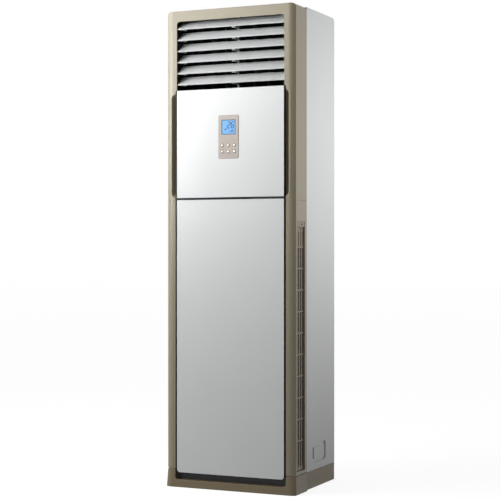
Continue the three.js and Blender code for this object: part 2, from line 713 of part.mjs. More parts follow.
// The skirt stands out wider at the floor than at the frame above it.
function skirtBlock(inset, bottom, top, back) {
  const ring = (z) => {
    const share = 1 - z / SKIRT_HEIGHT;
    return frontPlan(inset, back).map(([x, y]) => [
      x + Math.sign(x) * SKIRT_FLARE_SIDE * share,
      y === back ? y : y - SKIRT_FLARE_FRONT * share,
      z,
    ]);
  };
  return solid(loft([ring(bottom), ring(top)]));
}

function baseFrontCover() {
  const recess = (grow) =>
    outline([
      [-COLUMN_EDGE - grow, RECESS_BOTTOM - grow, RECESS_RADIUS + grow],
      [COLUMN_EDGE + grow, RECESS_BOTTOM - grow, RECESS_RADIUS + grow],
      [COLUMN_EDGE + grow, SKIRT_HEIGHT + 5],
      [-COLUMN_EDGE - grow, SKIRT_HEIGHT + 5],
    ]);
  const block = skirtBlock(0, 0, SKIRT_HEIGHT, WRAP_BACK_Y);
  const hollow = skirtBlock(PLASTIC_WALL, PLASTIC_WALL, SKIRT_HEIGHT + 1, WRAP_BACK_Y + 1);
  const liner = prismY(recess(PLASTIC_WALL), FRONT_Y - 20, FRONT_Y + RECESS_DEPTH + PLASTIC_WALL);
  const pocket = prismY(recess(0), FRONT_Y - 21, FRONT_Y + RECESS_DEPTH);
  return cut(join(cut(block, hollow), meet(block, liner)), pocket);
}

// The pressed floor of the cabinet: it runs into the skirt and is flush with the sides behind it.
function baseTray() {
  const back = BACK_Y - SHEET;
  const plan = (inset) =>
    outline(
      [-1, 1].flatMap((side) => {
        const half = [
          [side * (TRAY_HALF - inset), TRAY_FRONT_Y + inset],
          [side * (TRAY_HALF - inset), METAL_FRONT_Y + inset],
          [side * (HALF_WIDTH - inset), METAL_FRONT_Y + inset],
          [side * (HALF_WIDTH - inset), back - inset],
        ];
        return side < 0 ? half : half.reverse();
      }),
    );
  const outer = prismZ(plan(0), TRAY_BOTTOM, TRAY_TOP);
  const inner = prismZ(plan(TRAY_WALL), TRAY_BOTTOM + TRAY_WALL, TRAY_TOP + 1);
  const reach = METAL_INNER - FOLD;
  const rearRaise = box(-reach, reach, back - TRAY_WALL, back, TRAY_TOP - 1, METAL_BOTTOM + SHEET);
  const studs = footPlaces().map(([x, y]) => bore("z", FOOT_STUD + FIT, 0, 20, x, y, 12));
  return cut(join(cut(outer, inner), rearRaise), ...studs);
}

const footPlaces = () => [-1, 1].map((side) => [side * (TRAY_HALF - FOOT_INSET), BACK_Y - FOOT_INSET]);

function rearFoot([x, y]) {
  return join(
    rod("z", FOOT_RADIUS, 0, TRAY_BOTTOM - FIT, x, y, 24),
    rod("z", FOOT_STUD, 1, TRAY_BOTTOM + TRAY_WALL + 5, x, y, 12),
  );
}

// ---------------------------------------------------------------- front panels

// A panel is a shallow tray with a slightly crowned face.
function panelTray(bottom, top, radius, ribs) {
  const plan = (inset) => {
    const half = PANEL_HALF - inset;
    const points = [];
    for (let i = 0; i <= CROWN_STEPS; i++) {
      const x = -half + (2 * half * i) / CROWN_STEPS;
      points.push([x, PANEL_EDGE_Y - PANEL_CROWN * (1 - (x / PANEL_HALF) ** 2) + inset]);
    }
    points.push([half, PANEL_BACK_Y + inset]);
    points.push([-half, PANEL_BACK_Y + inset]);
    return outline(points);
  };
  const face = (inset) =>
    outline([
      [-PANEL_HALF + inset, bottom + inset, Math.max(radius - inset, 0)],
      [PANEL_HALF - inset, bottom + inset, Math.max(radius - inset, 0)],
      [PANEL_HALF - inset, top - inset],
      [-PANEL_HALF + inset, top - inset],
    ]);
  const whole = (inset) =>
    meet(
      prismZ(plan(inset), bottom - 1, top + 1),
      prismY(face(inset), PANEL_PEAK_Y - 1, PANEL_BACK_Y + inset + 1),
    );
  const stiffeners = ribs.map((z) =>
    box(
      -PANEL_HALF + 1,
      PANEL_HALF - 1,
      PANEL_EDGE_Y + PANEL_WALL - 1,
      PANEL_BACK_Y - RIB_THICKNESS,
      z,
      z + RIB_THICKNESS,
    ),
  );
  return join(cut(whole(0), whole(PANEL_WALL)), ...stiffeners);
}

function upperFrontPanel() {
  const ribs = [0, RIB_PITCH].flatMap((step) => [
    BEZEL_BOTTOM - RIB_CLEARANCE - step,
    BEZEL_TOP + RIB_CLEARANCE + step,
  ]);
  const tray = panelTray(UPPER_PANEL_BOTTOM, UPPER_PANEL_TOP - FIT * 2, 0, ribs);
  const inset = COLLAR_INSET - FIT;
  const hole = box(
    BEZEL_CENTRE - BEZEL_WIDTH / 2 + inset,
    BEZEL_CENTRE + BEZEL_WIDTH / 2 - inset,
    PANEL_PEAK_Y - 1,
    PANEL_EDGE_Y + PANEL_WALL + 1,
    BEZEL_BOTTOM + inset,
    BEZEL_TOP - inset,
  );
  return cut(tray, hole);
}

const lowerFrontPanel = () =>
  panelTray(
    LOWER_PANEL_BOTTOM,
    LOWER_PANEL_TOP,
    PANEL_CORNER_RADIUS,
    evenly(LOWER_PANEL_BOTTOM, LOWER_PANEL_TOP, LOWER_PANEL_RIBS),
  );

// The bright strip that fills the joint between the two panels.
function trimStrip() {
  const low = LOWER_PANEL_TOP + FIT;
  const high = UPPER_PANEL_BOTTOM - FIT;
  const front = PANEL_EDGE_Y + STRIP_SETBACK;
  const middle = (low + high) / 2;
  const section = outline([
    [front, middle - 1.5],
    [front + 2, low],
    [PANEL_BACK_Y, low],
    [PANEL_BACK_Y, high],
    [front + 2, high],
    [front, middle + 1.5],
  ]);
  return prismX(section, -PANEL_HALF, PANEL_HALF);
}

// ---------------------------------------------------------------- display

const buttonPlaces = () => {
  const places = [];
  for (let row = 0; row < 2; row++) {
    for (let column = -1; column <= 1; column++) {
      places.push([BEZEL_CENTRE + column * BUTTON_PITCH, BUTTON_TOP_ROW - row * BUTTON_ROW_PITCH]);
    }
  }
  return places;
};

function displayBezel() {
  const half = BEZEL_WIDTH / 2;
  const face = rectangle(BEZEL_CENTRE - half, BEZEL_CENTRE + half, BEZEL_BOTTOM, BEZEL_TOP, BEZEL_RADIUS);
  const collar = (inset, front, back) =>
    box(
      BEZEL_CENTRE - half + inset,
      BEZEL_CENTRE + half - inset,
      front,
      back,
      BEZEL_BOTTOM + inset,
      BEZEL_TOP - inset,
    );
  const back = BEZEL_BACK_Y + BEZEL_COLLAR;
  const body = join(
    prismY(face, BEZEL_FACE_Y, BEZEL_BACK_Y),
    cut(
      collar(COLLAR_INSET, BEZEL_BACK_Y - 0.5, back),
      collar(COLLAR_INSET + RIB_THICKNESS, BEZEL_INNER_Y, back + 1),
    ),
  );
  const glass = box(
    BEZEL_CENTRE - LCD_WIDTH / 2,
    BEZEL_CENTRE + LCD_WIDTH / 2,
    BEZEL_FACE_Y - 1,
    BEZEL_INNER_Y + 1,
    LCD_CENTRE_Z - LCD_HEIGHT / 2,
    LCD_CENTRE_Z + LCD_HEIGHT / 2,
  );
  const holes = buttonPlaces().map(([x, z]) =>
    bore("y", BUTTON_RADIUS + FIT, BEZEL_FACE_Y - 1, BEZEL_INNER_Y + 1, x, z, 12),
  );
  return cut(body, glass, ...holes);
}

function displayLcd() {
  const plate = (grow, front, back) =>
    box(
      BEZEL_CENTRE - LCD_WIDTH / 2 - grow,
      BEZEL_CENTRE + LCD_WIDTH / 2 + grow,
      front,
      back,
      LCD_CENTRE_Z - LCD_HEIGHT / 2 - grow,
      LCD_CENTRE_Z + LCD_HEIGHT / 2 + grow,
    );
  return join(
    plate(-FIT, BEZEL_FACE_Y + LCD_RECESS, BEZEL_INNER_Y + 1),
    plate(2, BEZEL_INNER_Y + FIT, BEZEL_INNER_Y + FIT + LCD_BODY),
  );
}

const BOARD_Y = BEZEL_INNER_Y + 2 * FIT + LCD_BODY;

function displayBoard() {
  const inset = COLLAR_INSET + RIB_THICKNESS + FIT;
  const board = box(
    BEZEL_CENTRE - BEZEL_WIDTH / 2 + inset,
    BEZEL_CENTRE + BEZEL_WIDTH / 2 - inset,
    BOARD_Y,
    BOARD_Y + BOARD_THICKNESS,
    BEZEL_BOTTOM + inset,
    BEZEL_TOP - inset,
  );
  const reach = BOARD_Y - (BEZEL_INNER_Y + FIT + BUTTON_FLANGE + BUTTON_STROKE + FIT);
  const switches = buttonPlaces().map(([x, z]) =>
    box(x - 3, x + 3, BOARD_Y - reach, BOARD_Y + 0.5, z - 3, z + 3),
  );
  return join(board, ...switches);
}

// A domed cap with a flange that holds it behind the bezel.
function displayButton([x, z]) {
  const flange = BUTTON_RADIUS + 1.5;
  const front = BEZEL_FACE_Y - BUTTON_PROUD;
  const seat = BEZEL_INNER_Y + FIT;
  return turned(
    [
      [0, front],
      [BUTTON_RADIUS * 0.7, front + 0.5],
      [BUTTON_RADIUS, front + 1.5],
      [BUTTON_RADIUS, seat],
      [flange, seat],
      [flange, seat + BUTTON_FLANGE],
      [0, seat + BUTTON_FLANGE],
    ],
    x,
    z,
    12,
  );
}

// ---------------------------------------------------------------- air outlet

const louvreZ = (k) => TOP_PIVOT_Z - k * LOUVRE_PITCH;
const vaneX = (k) => (k - (VANE_COUNT - 1) / 2) * VANE_PITCH;

function outletDuct() {
  const outer = DUCT_HALF + DUCT_WALL;
  const body = cut(
    box(-outer, outer, DUCT_FRONT_Y, DUCT_BACK_Y, DUCT_FLOOR - DUCT_WALL, DUCT_ROOF + DUCT_WALL),
    box(-DUCT_HALF, DUCT_HALF, DUCT_FRONT_Y - 1, DUCT_BACK_Y + 1, DUCT_FLOOR, DUCT_ROOF),
  );
  const flange = cut(
    box(
      -outer - DUCT_FLANGE,
      outer + DUCT_FLANGE,
      DUCT_FRONT_Y,
      DUCT_FRONT_Y + DUCT_WALL,
      UPPER_PANEL_TOP + DUCT_WALL,
      DUCT_ROOF + DUCT_WALL + DUCT_FLANGE,
    ),
    box(-DUCT_HALF, DUCT_HALF, DUCT_FRONT_Y - 1, DUCT_FRONT_Y + DUCT_WALL + 1, DUCT_FLOOR, DUCT_ROOF),
  );
  const curtain = box(
    -outer,
    outer,
    DUCT_FRONT_Y,
    DUCT_FRONT_Y + DUCT_WALL,
    OUTLET_TOP + FIT,
    DUCT_ROOF + DUCT_WALL,
  );
  const panelRoom = box(
    -outer - DUCT_FLANGE - 1,
    outer + DUCT_FLANGE + 1,
    DUCT_FRONT_Y - 1,
    LEDGE_BACK_Y + FIT,
    DUCT_FLOOR - DUCT_WALL - 1,
    UPPER_PANEL_TOP + DUCT_WALL + FIT,
  );
  const pivots = [];
  for (let k = 0; k < LOUVRE_COUNT; k++) {
    pivots.push(bore("x", PIN_RADIUS + PIN_PLAY, -outer - 1, outer + 1, LOUVRE_Y, louvreZ(k), 6));
  }
  for (let k = 0; k < VANE_COUNT; k++) {
    const low = DUCT_FLOOR - DUCT_WALL - 1;
    pivots.push(bore("z", PIN_RADIUS + PIN_PLAY, low, DUCT_ROOF + DUCT_WALL + 1, vaneX(k), VANE_Y, 6));
  }
  return cut(join(body, flange, curtain), panelRoom, ...pivots);
}

// Black foam lines the sheet metal behind the duct: a hood open to the front and below.
function foamLiner() {
  const half = METAL_INNER - FIT - SHEET - FIT;
  const back = REAR_SHEET_Y - SHEET - FIT;
  const top = CABINET_HEIGHT - FIT - SHEET - FIT;
  const low = DUCT_FLOOR - FOAM_BELOW_DUCT;
  const hood = (inset, front, bottom, reach) =>
    prismX(
      outline(
        [
          [front, bottom],
          [back - inset, bottom],
          [back - inset, top - inset, FOAM_TOP_RADIUS - inset],
          [front, top - inset],
        ],
        3,
      ),
      -reach,
      reach,
    );
  const front = DUCT_BACK_Y + FIT;
  return cut(hood(0, front, low, half), hood(FOAM_THICKNESS, front - 1, low - 1, half - FOAM_THICKNESS));
}

// The section of a louvre across its length: u runs back along the chord, n up from the pivot.
function louvreSection() {
  const half = LOUVRE_CHORD / 2;
  const low = LOUVRE_OFFSET;
  const high = LOUVRE_OFFSET + LOUVRE_THICKNESS;
  return outline([
    [-half, high - LOUVRE_LIP],
    [-half + 2, high - LOUVRE_LIP],
    [-half + 2.8, low],
    [half - 1, low],
    [half, low + 0.6],
    [half, high - 0.8],
    [half - 1, high - 0.2],
    [0, high],
    [-half + 1.5, high - 0.2],
    [-half, high - 1.3],
  ]);
}

// A cheek hangs under the louvre from its front edge and carries the pivot.
function cheek(x) {
  const front = -LOUVRE_CHORD / 2 + 1.8;
  const foot = PIN_RADIUS + 1.5;
  const section = outline([
    [front, LOUVRE_OFFSET + 0.2],
    [-8, LOUVRE_OFFSET / 2],
    [-foot, -PIN_RADIUS],
    [-foot + 2, -PIN_RADIUS - 1.8],
    [foot - 2, -PIN_RADIUS - 1.8],
    [foot, -PIN_RADIUS],
    [12, LOUVRE_OFFSET + 0.2],
  ]);
  return prismX(section, x - CHEEK_THICKNESS / 2, x + CHEEK_THICKNESS / 2);
}

function louvre(driven) {
  const outer = DUCT_HALF + DUCT_WALL;
  const end = LOUVRE_END - CHEEK_INSET;
  const pin = (from, to) => rod("x", PIN_RADIUS, from, to, 0, 0, 6);
  const centre = HOOK_THICKNESS / 2 + 1 + CHEEK_THICKNESS;
  const crank = prismX(
    rectangle(-2, CRANK_RADIUS + LINK_WIDTH / 2, -LINK_WIDTH / 2, LINK_WIDTH / 2, 2, 1),
    CRANK_X - CHEEK_THICKNESS / 2,
    CRANK_X + CHEEK_THICKNESS / 2,
  );
  const linkFace = CRANK_X + CHEEK_THICKNESS / 2;
  return join(
    prismX(louvreSection(), -LOUVRE_END, LOUVRE_END),
    cheek(end),
    cheek(-end),
    cheek(centre - CHEEK_THICKNESS / 2),
    cheek(-centre + CHEEK_THICKNESS / 2),
    cheek(CRANK_X),
    crank,
    pin(-outer - 0.6, -end),
    pin(end, driven ? outer + 8 : outer + 0.6),
    pin(-centre + 1, centre - 1),
    rod("x", CRANK_PIN_RADIUS, linkFace - 1, linkFace + LINK_THICKNESS + 1.5, CRANK_RADIUS, 0, 6),
  );
}

const crankPlace = (k) => [
  LOUVRE_Y + CRANK_RADIUS * Math.cos(REST_TURN),
  louvreZ(k) + CRANK_RADIUS * Math.sin(REST_TURN),
];

// The upright bar that makes the louvres turn together.
function louvreLinkBar() {
  const [y, top] = crankPlace(0);
  const [, bottom] = crankPlace(LOUVRE_COUNT - 1);
  const face = CRANK_X + CHEEK_THICKNESS / 2 + FIT;
  const half = LINK_WIDTH / 2;
  const back = face + LINK_THICKNESS;
  const strip = prismX(rectangle(y - half, y + half, bottom - half, top + half, 2, 1), face, back);
  const holes = [];
  for (let k = 0; k < LOUVRE_COUNT; k++) {
    const radius = CRANK_PIN_RADIUS + PIN_PLAY;
    holes.push(bore("x", radius, face - 1, back + 1, ...crankPlace(k), 6));
  }
  return cut(strip, ...holes);
}

// A comb behind the louvres whose hooks hold each one at the middle of its length.
function centreSupport() {
  const half = HOOK_THICKNESS / 2;
  const barFront = LOUVRE_Y + LOUVRE_SWING + 2;
  const foot = 20;
  const pieces = [box(-half, half, barFront, barFront + SUPPORT_BAR, DUCT_FLOOR + FIT, DUCT_ROOF - FIT)];
  for (const z of [DUCT_FLOOR + FIT, DUCT_ROOF - FIT - DUCT_WALL]) {
    pieces.push(box(-foot, foot, barFront, barFront + SUPPORT_BAR, z, z + DUCT_WALL));
  }
  const holes = [];
  for (let k = 0; k < LOUVRE_COUNT; k++) {
    const z = louvreZ(k);
    const low = z - HOOK_HALF_HEIGHT;
    const high = z + HOOK_HALF_HEIGHT;
    const tip = LOUVRE_Y - HOOK_HALF_HEIGHT;
    pieces.push(prismX(rectangle(tip, barFront + 2, low, high, 2, 1), -half, half));
    holes.push(bore("x", PIN_RADIUS + PIN_PLAY, -half - 1, half + 1, LOUVRE_Y, z, 6));
  }
  return cut(join(...pieces), ...holes);
}

// A small geared motor on the duct wall; the driven pin runs into its socket.
function louvreMotor() {
  const face = DUCT_HALF + DUCT_WALL + FIT;
  const z = louvreZ(0);
  return cut(
    join(
      rod("x", MOTOR_RADIUS, face, face + MOTOR_LENGTH, LOUVRE_Y, z, 16),
      box(face, face + 2, LOUVRE_Y - 5, LOUVRE_Y + 5, z - MOTOR_RADIUS - 8, z + MOTOR_RADIUS + 8),
    ),
    bore("x", PIN_RADIUS + PIN_PLAY, face - 1, face + 10, LOUVRE_Y, z, 6),
  );
}

function vaneMotor() {
  const face = DUCT_FLOOR - DUCT_WALL - FIT;
  return cut(
    join(
      rod("z", MOTOR_RADIUS, face, face - MOTOR_LENGTH, 0, VANE_Y, 16),
      box(-MOTOR_RADIUS - 8, MOTOR_RADIUS + 8, VANE_Y - 5, VANE_Y + 5, face - 2, face),
    ),
    bore("z", PIN_RADIUS + PIN_PLAY, face + 1, face - 10, 0, VANE_Y, 8),
  );
}

// An upright vane that turns the air left and right, notched at its foot for the link bar.
function vane(driven) {
  const half = VANE_CHORD / 2;
  const low = DUCT_FLOOR + VANE_END_GAP;
  const high = DUCT_ROOF - VANE_END_GAP;
  const notch = VANE_CRANK / 2;
  const blade = prismX(
    outline([
      [-half, low, 6],
      [notch, low],
      [notch, low + VANE_NOTCH_HEIGHT],
      [half, low + VANE_NOTCH_HEIGHT],
      [half, high, 6],
      [-half, high, 6],
    ], 1),
    -VANE_THICKNESS / 2,
    VANE_THICKNESS / 2,
  );
  const bottom = DUCT_FLOOR - DUCT_WALL - (driven ? 8 : 0.6);
  return join(
    blade,
    rod("z", PIN_RADIUS, bottom, low + 20, 0, 0, 6),
    rod("z", PIN_RADIUS, high - 20, DUCT_ROOF + DUCT_WALL + 0.6, 0, 0, 6),
    rod("z", CRANK_PIN_RADIUS, low + 2, low + VANE_NOTCH_HEIGHT + 6, 0, VANE_CRANK, 6),
  );
}

function vaneLinkBar() {
  const y = VANE_Y + VANE_CRANK;
  const low = DUCT_FLOOR + VANE_END_GAP + 4;
  const half = LINK_WIDTH / 2;
  const reach = vaneX(VANE_COUNT - 1) + half + 2;
  const strip = prismZ(rectangle(-reach, reach, y - half, y + half, 2, 1), low, low + LINK_THICKNESS);
  const holes = [];
  for (let k = 0; k < VANE_COUNT; k++) {
    const radius = CRANK_PIN_RADIUS + PIN_PLAY;
    holes.push(bore("z", radius, low - 1, low + LINK_THICKNESS + 1, vaneX(k), y, 6));
  }
  return cut(strip, ...holes);
}

// ---------------------------------------------------------------- intake grilles

const grillePivot = (side) => [
  side * (GRILLE_FACE - GRILLE_THICKNESS / 2),
  WINDOW_BOTTOM + GRILLE_GAP + GRILLE_PIN_HEIGHT,
];
const slotY = (column) =>
  (WINDOW_FRONT_Y + WINDOW_BACK_Y) / 2 + (column - (GRILLE_COLUMNS - 1) / 2) * GRILLE_PITCH;
const railZ = (row) => GRILLE_TOP_RAIL - row * GRILLE_ROW_PITCH;

// Columns of upright slots between cross rails, closed ribbed head, pull tab, sloping sill.
function intakeGrille(side) {
  const front = WINDOW_FRONT_Y + GRILLE_GAP;
  const back = WINDOW_BACK_Y - GRILLE_GAP;
  const low = WINDOW_BOTTOM + GRILLE_GAP * 2.5;
  const high = WINDOW_TOP - GRILLE_GAP;
  const face = side * GRILLE_FACE;
  const rear = side * GRILLE_BACK;
  const outside = side * (GRILLE_FACE + GRILLE_RECESS - 1);
  const slots = [];
  for (let column = 0; column < GRILLE_COLUMNS; column++) {
    const y = slotY(column);
    const half = GRILLE_SLOT / 2;
    slots.push(box(face + side, rear - side, y - half, y + half, low + SILL_HEIGHT, GRILLE_TOP_RAIL));
  }
  const pieces = [cut(box(face, rear, front, back, low, high), ...slots)];
  const rib = side * (GRILLE_FACE + GRILLE_RIB);
  for (let row = 0; row < GRILLE_ROWS; row++) {
    const z = railZ(row);
    pieces.push(box(rib, face - side * 3, front, back, z - GRILLE_RAIL / 2, z + GRILLE_RAIL / 2));
  }
  pieces.push(box(outside, rear, front, back, WINDOW_TOP - 21, high));
  const [x, z] = grillePivot(side);
  pieces.push(rod("y", GRILLE_PIN_RADIUS, front - JAMB, back + JAMB, x, z, 12));
  const holes = [];
  for (let column = 0; column < GRILLE_COLUMNS; column++) {
    const y = slotY(column);
    holes.push(headGroove(side, y), sillRamp(side, y, low));
  }
  holes.push(pullTab(side), screwWell(side));
  return cut(join(...pieces), ...holes);
}

// The head above the slots is closed; each column goes on there as a shallow groove.
const headGroove = (side, y) =>
  box(
    side * (GRILLE_FACE + 1),
    side * (GRILLE_FACE - 2),
    y - GRILLE_SLOT / 2,
    y + GRILLE_SLOT / 2,
    GRILLE_TOP_RAIL + GRILLE_RAIL / 2,
    GRILLE_TOP_RAIL + GRILLE_GROOVE_HEIGHT,
  );

// Below the slots a ramp rises from each slot's depth to the face.
function sillRamp(side, y, low) {
  const half = GRILLE_SLOT / 2;
  const ring = [
    [side * (GRILLE_FACE + 1), low + 4],
    [side * (GRILLE_BACK + 1), low + SILL_HEIGHT + 0.5],
    [side * (GRILLE_FACE + 1), low + SILL_HEIGHT + 0.5],
  ];
  return prismY(outline(ring), y - half, y + half);
}

// A finger tab under the screw block, hollowed behind its curved lower edge.
function pullTab(side) {
  const y = slotY(1.5);
  const half = 19;
  const top = WINDOW_TOP - 24;
  const shape = outline(
    [
      [y - half, top - 12, 3],
      [y, top - 7],
      [y + half, top - 12, 3],
      [y + half, top, 2],
      [y - half, top, 2],
    ],
    2,
  );
  return prismX(shape, side * (GRILLE_FACE - 2.5), side * (GRILLE_FACE + 1));
}

// The fixing screw of the grille sits sunk in a round well.
function screwWell(side) {
  const y = slotY(1.5) + 12;
  const z = WINDOW_TOP - 10;
  const outside = GRILLE_FACE + GRILLE_RECESS;
  return cut(
    rod("x", 4, side * (GRILLE_FACE - 1), side * outside, y, z, 14),
    rod("x", 3.2, side * (GRILLE_FACE - 2), side * (GRILLE_FACE + 2.5), y, z, 14),
  );
}

// A slide-in filter: a thin rim round a net that is modelled as a plain sheet.
function airFilter(side) {
  const front = WINDOW_FRONT_Y + GRILLE_GAP;
  const back = WINDOW_BACK_Y - GRILLE_GAP;
  const low = WINDOW_BOTTOM + GRILLE_GAP + 16;
  const high = WINDOW_TOP - 30;
  const near = side * (GRILLE_BACK - FIT);
  const far = side * (GRILLE_BACK - FILTER_THICKNESS + 1);
  const rim = cut(
    box(near, far, front, back, low, high),
    box(near + side, far - side, front + 4, back - 4, low + 4, high - 4),
  );
  const net = box(near - side * 1.5, near - side * 2.5, front + 2, back - 2, low + 2, high - 2);
  const bars = [0.25, 0.5, 0.75].map((share) => {
    const z = low + (high - low) * share;
    return box(near, far, front + 2, back - 2, z - 2, z + 2);
  });
  return join(rim, net, ...bars);
}

// ---------------------------------------------------------------- sheet metal

function sidePanel(side) {
  const face = (inset) =>
    outline(
      [
        [METAL_FRONT_Y + inset, METAL_BOTTOM + inset],
        [BACK_Y - inset, METAL_BOTTOM + inset],
        [BACK_Y - inset, CABINET_HEIGHT - inset, REAR_TOP_RADIUS - inset],
        [METAL_FRONT_Y + inset, CABINET_HEIGHT - inset],
      ],
      5,
    );
  const pan = cut(
    prismX(face(0), side * (METAL_INNER - FOLD), side * HALF_WIDTH),
    prismX(face(SHEET), side * (METAL_INNER - FOLD - 1), side * METAL_INNER),
  );
  const headRoom = box(
    side * (METAL_INNER - FOLD - 1),
    side * METAL_INNER,
    METAL_FRONT_Y - 1,
    BACK_Y + 1,
    CABINET_HEIGHT - TOP_SKIRT,
    CABINET_HEIGHT + 1,
  );
  const centre = BACK_Y - KNOCKOUT_FROM_BACK - KNOCKOUT_WIDTH / 2;
  const knockout = (grow, from, to) =>
    prismX(
      rectangle(
        centre - KNOCKOUT_WIDTH / 2 - grow,
        centre + KNOCKOUT_WIDTH / 2 + grow,
        KNOCKOUT_BOTTOM - grow,
        KNOCKOUT_BOTTOM + KNOCKOUT_HEIGHT + grow,
        KNOCKOUT_RADIUS + grow * 0.5,
        2,
      ),
      side * from,
      side * to,
    );
  const floor = HALF_WIDTH - KNOCKOUT_DEPTH;
  const dish = cut(
    knockout(0, floor, HALF_WIDTH + 1),
    knockout(-KNOCKOUT_LAND, floor - 1, HALF_WIDTH + 2),
  );
  const boss = knockout(SHEET, floor - SHEET, METAL_INNER + 0.5);
  return cut(join(cut(pan, headRoom), boss), dish);
}

function topCover() {
  const face = (inset, front) =>
    outline(
      [
        [front, CABINET_HEIGHT - TOP_SKIRT - (inset ? 1 : 0)],
        [BACK_Y - FIT - inset, CABINET_HEIGHT - TOP_SKIRT - (inset ? 1 : 0)],
        [BACK_Y - FIT - inset, CABINET_HEIGHT - FIT - inset, REAR_TOP_RADIUS - inset],
        [front, CABINET_HEIGHT - FIT - inset],
      ],
      5,
    );
  const half = METAL_INNER - FIT;
  return cut(
    prismX(face(0, METAL_FRONT_Y), -half, half),
    prismX(face(SHEET, METAL_FRONT_Y - 1), -half + SHEET, half - SHEET),
  );
}

// A rear sheet with pressed beads that stand out to the back.
function rearSheet(bottom, top) {
  const half = METAL_INNER - FIT;
  const inner = REAR_SHEET_Y - SHEET;
  const crest = BACK_Y - BEAD_GAP;
  let sheet = box(-half, half, inner, REAR_SHEET_Y, bottom, top);
  for (const z of evenly(bottom, top, BEAD_COUNT)) {
    const bead = (grow, from, to) => {
      const reach = half - BEAD_SIDE_MARGIN + grow;
      const rise = BEAD_WIDTH / 2 + grow;
      return prismY(rectangle(-reach, reach, z - rise, z + rise, BEAD_RADIUS + grow, 1), from, to);
    };
    const ridge = bead(0, REAR_SHEET_Y - 0.5, crest);
    sheet = cut(join(sheet, ridge), bead(-SHEET, inner - 1, crest - SHEET));
  }
  return sheet;
}

function lowerRearPanel() {
  const sheet = rearSheet(METAL_BOTTOM + SHEET + FIT, REAR_SEAM - FIT / 2);
  const [front, back] = [REAR_SHEET_Y - SHEET - 1, BACK_Y + 1];
  return cut(sheet, rod("y", PIPE_EXIT_RADIUS, front, back, PIPE_EXIT_X, PIPE_EXIT_Z, 20));
}

const upperRearPanel = () => rearSheet(REAR_SEAM + FIT / 2, CABINET_HEIGHT - TOP_SKIRT - FIT);

// ---------------------------------------------------------------- fan

// The air path of the scroll: it grows evenly from the cutoff round to the upright outlet.
function scrollOutline(grow) {
  const points = [];
  const first = THREE.MathUtils.degToRad(SCROLL_CUTOFF);
  for (let i = 0; i <= SCROLL_STEPS; i++) {
    const turn = first + ((2 * Math.PI - first) * i) / SCROLL_STEPS;
    const radius = SCROLL_START + (SCROLL_GROWTH * i) / SCROLL_STEPS + grow;
    points.push([radius * Math.cos(turn), FAN_HEIGHT + radius * Math.sin(turn)]);
  }
  const top = SHELF_HEIGHT - FIT;
  points.push([SCROLL_END + grow, top + (grow ? 0 : 1)]);
  points.push([SCROLL_START * Math.cos(first) - grow, top + (grow ? 0 : 1)]);
  if (!grow) points.push([SCROLL_START * Math.cos(first), FAN_HEIGHT + SCROLL_START * Math.sin(first) + 6]);
  return outline(points);
}

function fanScroll() {
  const front = FAN_FRONT_Y;
  const back = FAN_BACK_Y;
  const leg = (side, inset, low) =>
    box(
      side * (LEG_INNER + inset),
      side * (LEG_INNER + LEG_WIDTH - inset),
      front - SCROLL_WALL + inset,
      back + SCROLL_WALL - inset,
      low,
      FAN_HEIGHT - LEG_OVERLAP,
    );
  const legs = [-1, 1].map((side) => leg(side, 0, TRAY_BOTTOM + TRAY_WALL + FIT));
  const legRoom = [-1, 1].map((side) => leg(side, SCROLL_WALL, TRAY_BOTTOM));
  const shell = prismY(scrollOutline(SCROLL_WALL), front - SCROLL_WALL, back + SCROLL_WALL);
  return cut(
    join(cut(join(...legs), ...legRoom), shell),
    prismY(scrollOutline(0), front, back),
    rod("y", INLET_RADIUS + 6, front - SCROLL_WALL - 1, front + 1, 0, FAN_HEIGHT, 40),
    rod("y", SHAFT_RADIUS + 8, back - 1, back + SCROLL_WALL + 1, 0, FAN_HEIGHT, 20),
  );
}

// The bell mouth that leads the air into the eye of the wheel.
function inletRing() {
  const wall = FAN_FRONT_Y - SCROLL_WALL - FIT;
  const profile = [
    [INLET_RADIUS + 24, wall],
    [INLET_RADIUS + 24, wall - 2],
    [INLET_RADIUS + 12, wall - 4],
    [INLET_RADIUS + 5, wall - 3],
    [INLET_RADIUS, wall + 2],
    [INLET_RADIUS - 1, wall + SCROLL_WALL + 3],
    [INLET_RADIUS + 1, wall + SCROLL_WALL + 3],
    [INLET_RADIUS + 2.5, wall + 2],
    [INLET_RADIUS + 5, wall],
  ];
  profile.push(profile[0]);
  return turned([...profile].reverse(), 0, FAN_HEIGHT, 24);
}

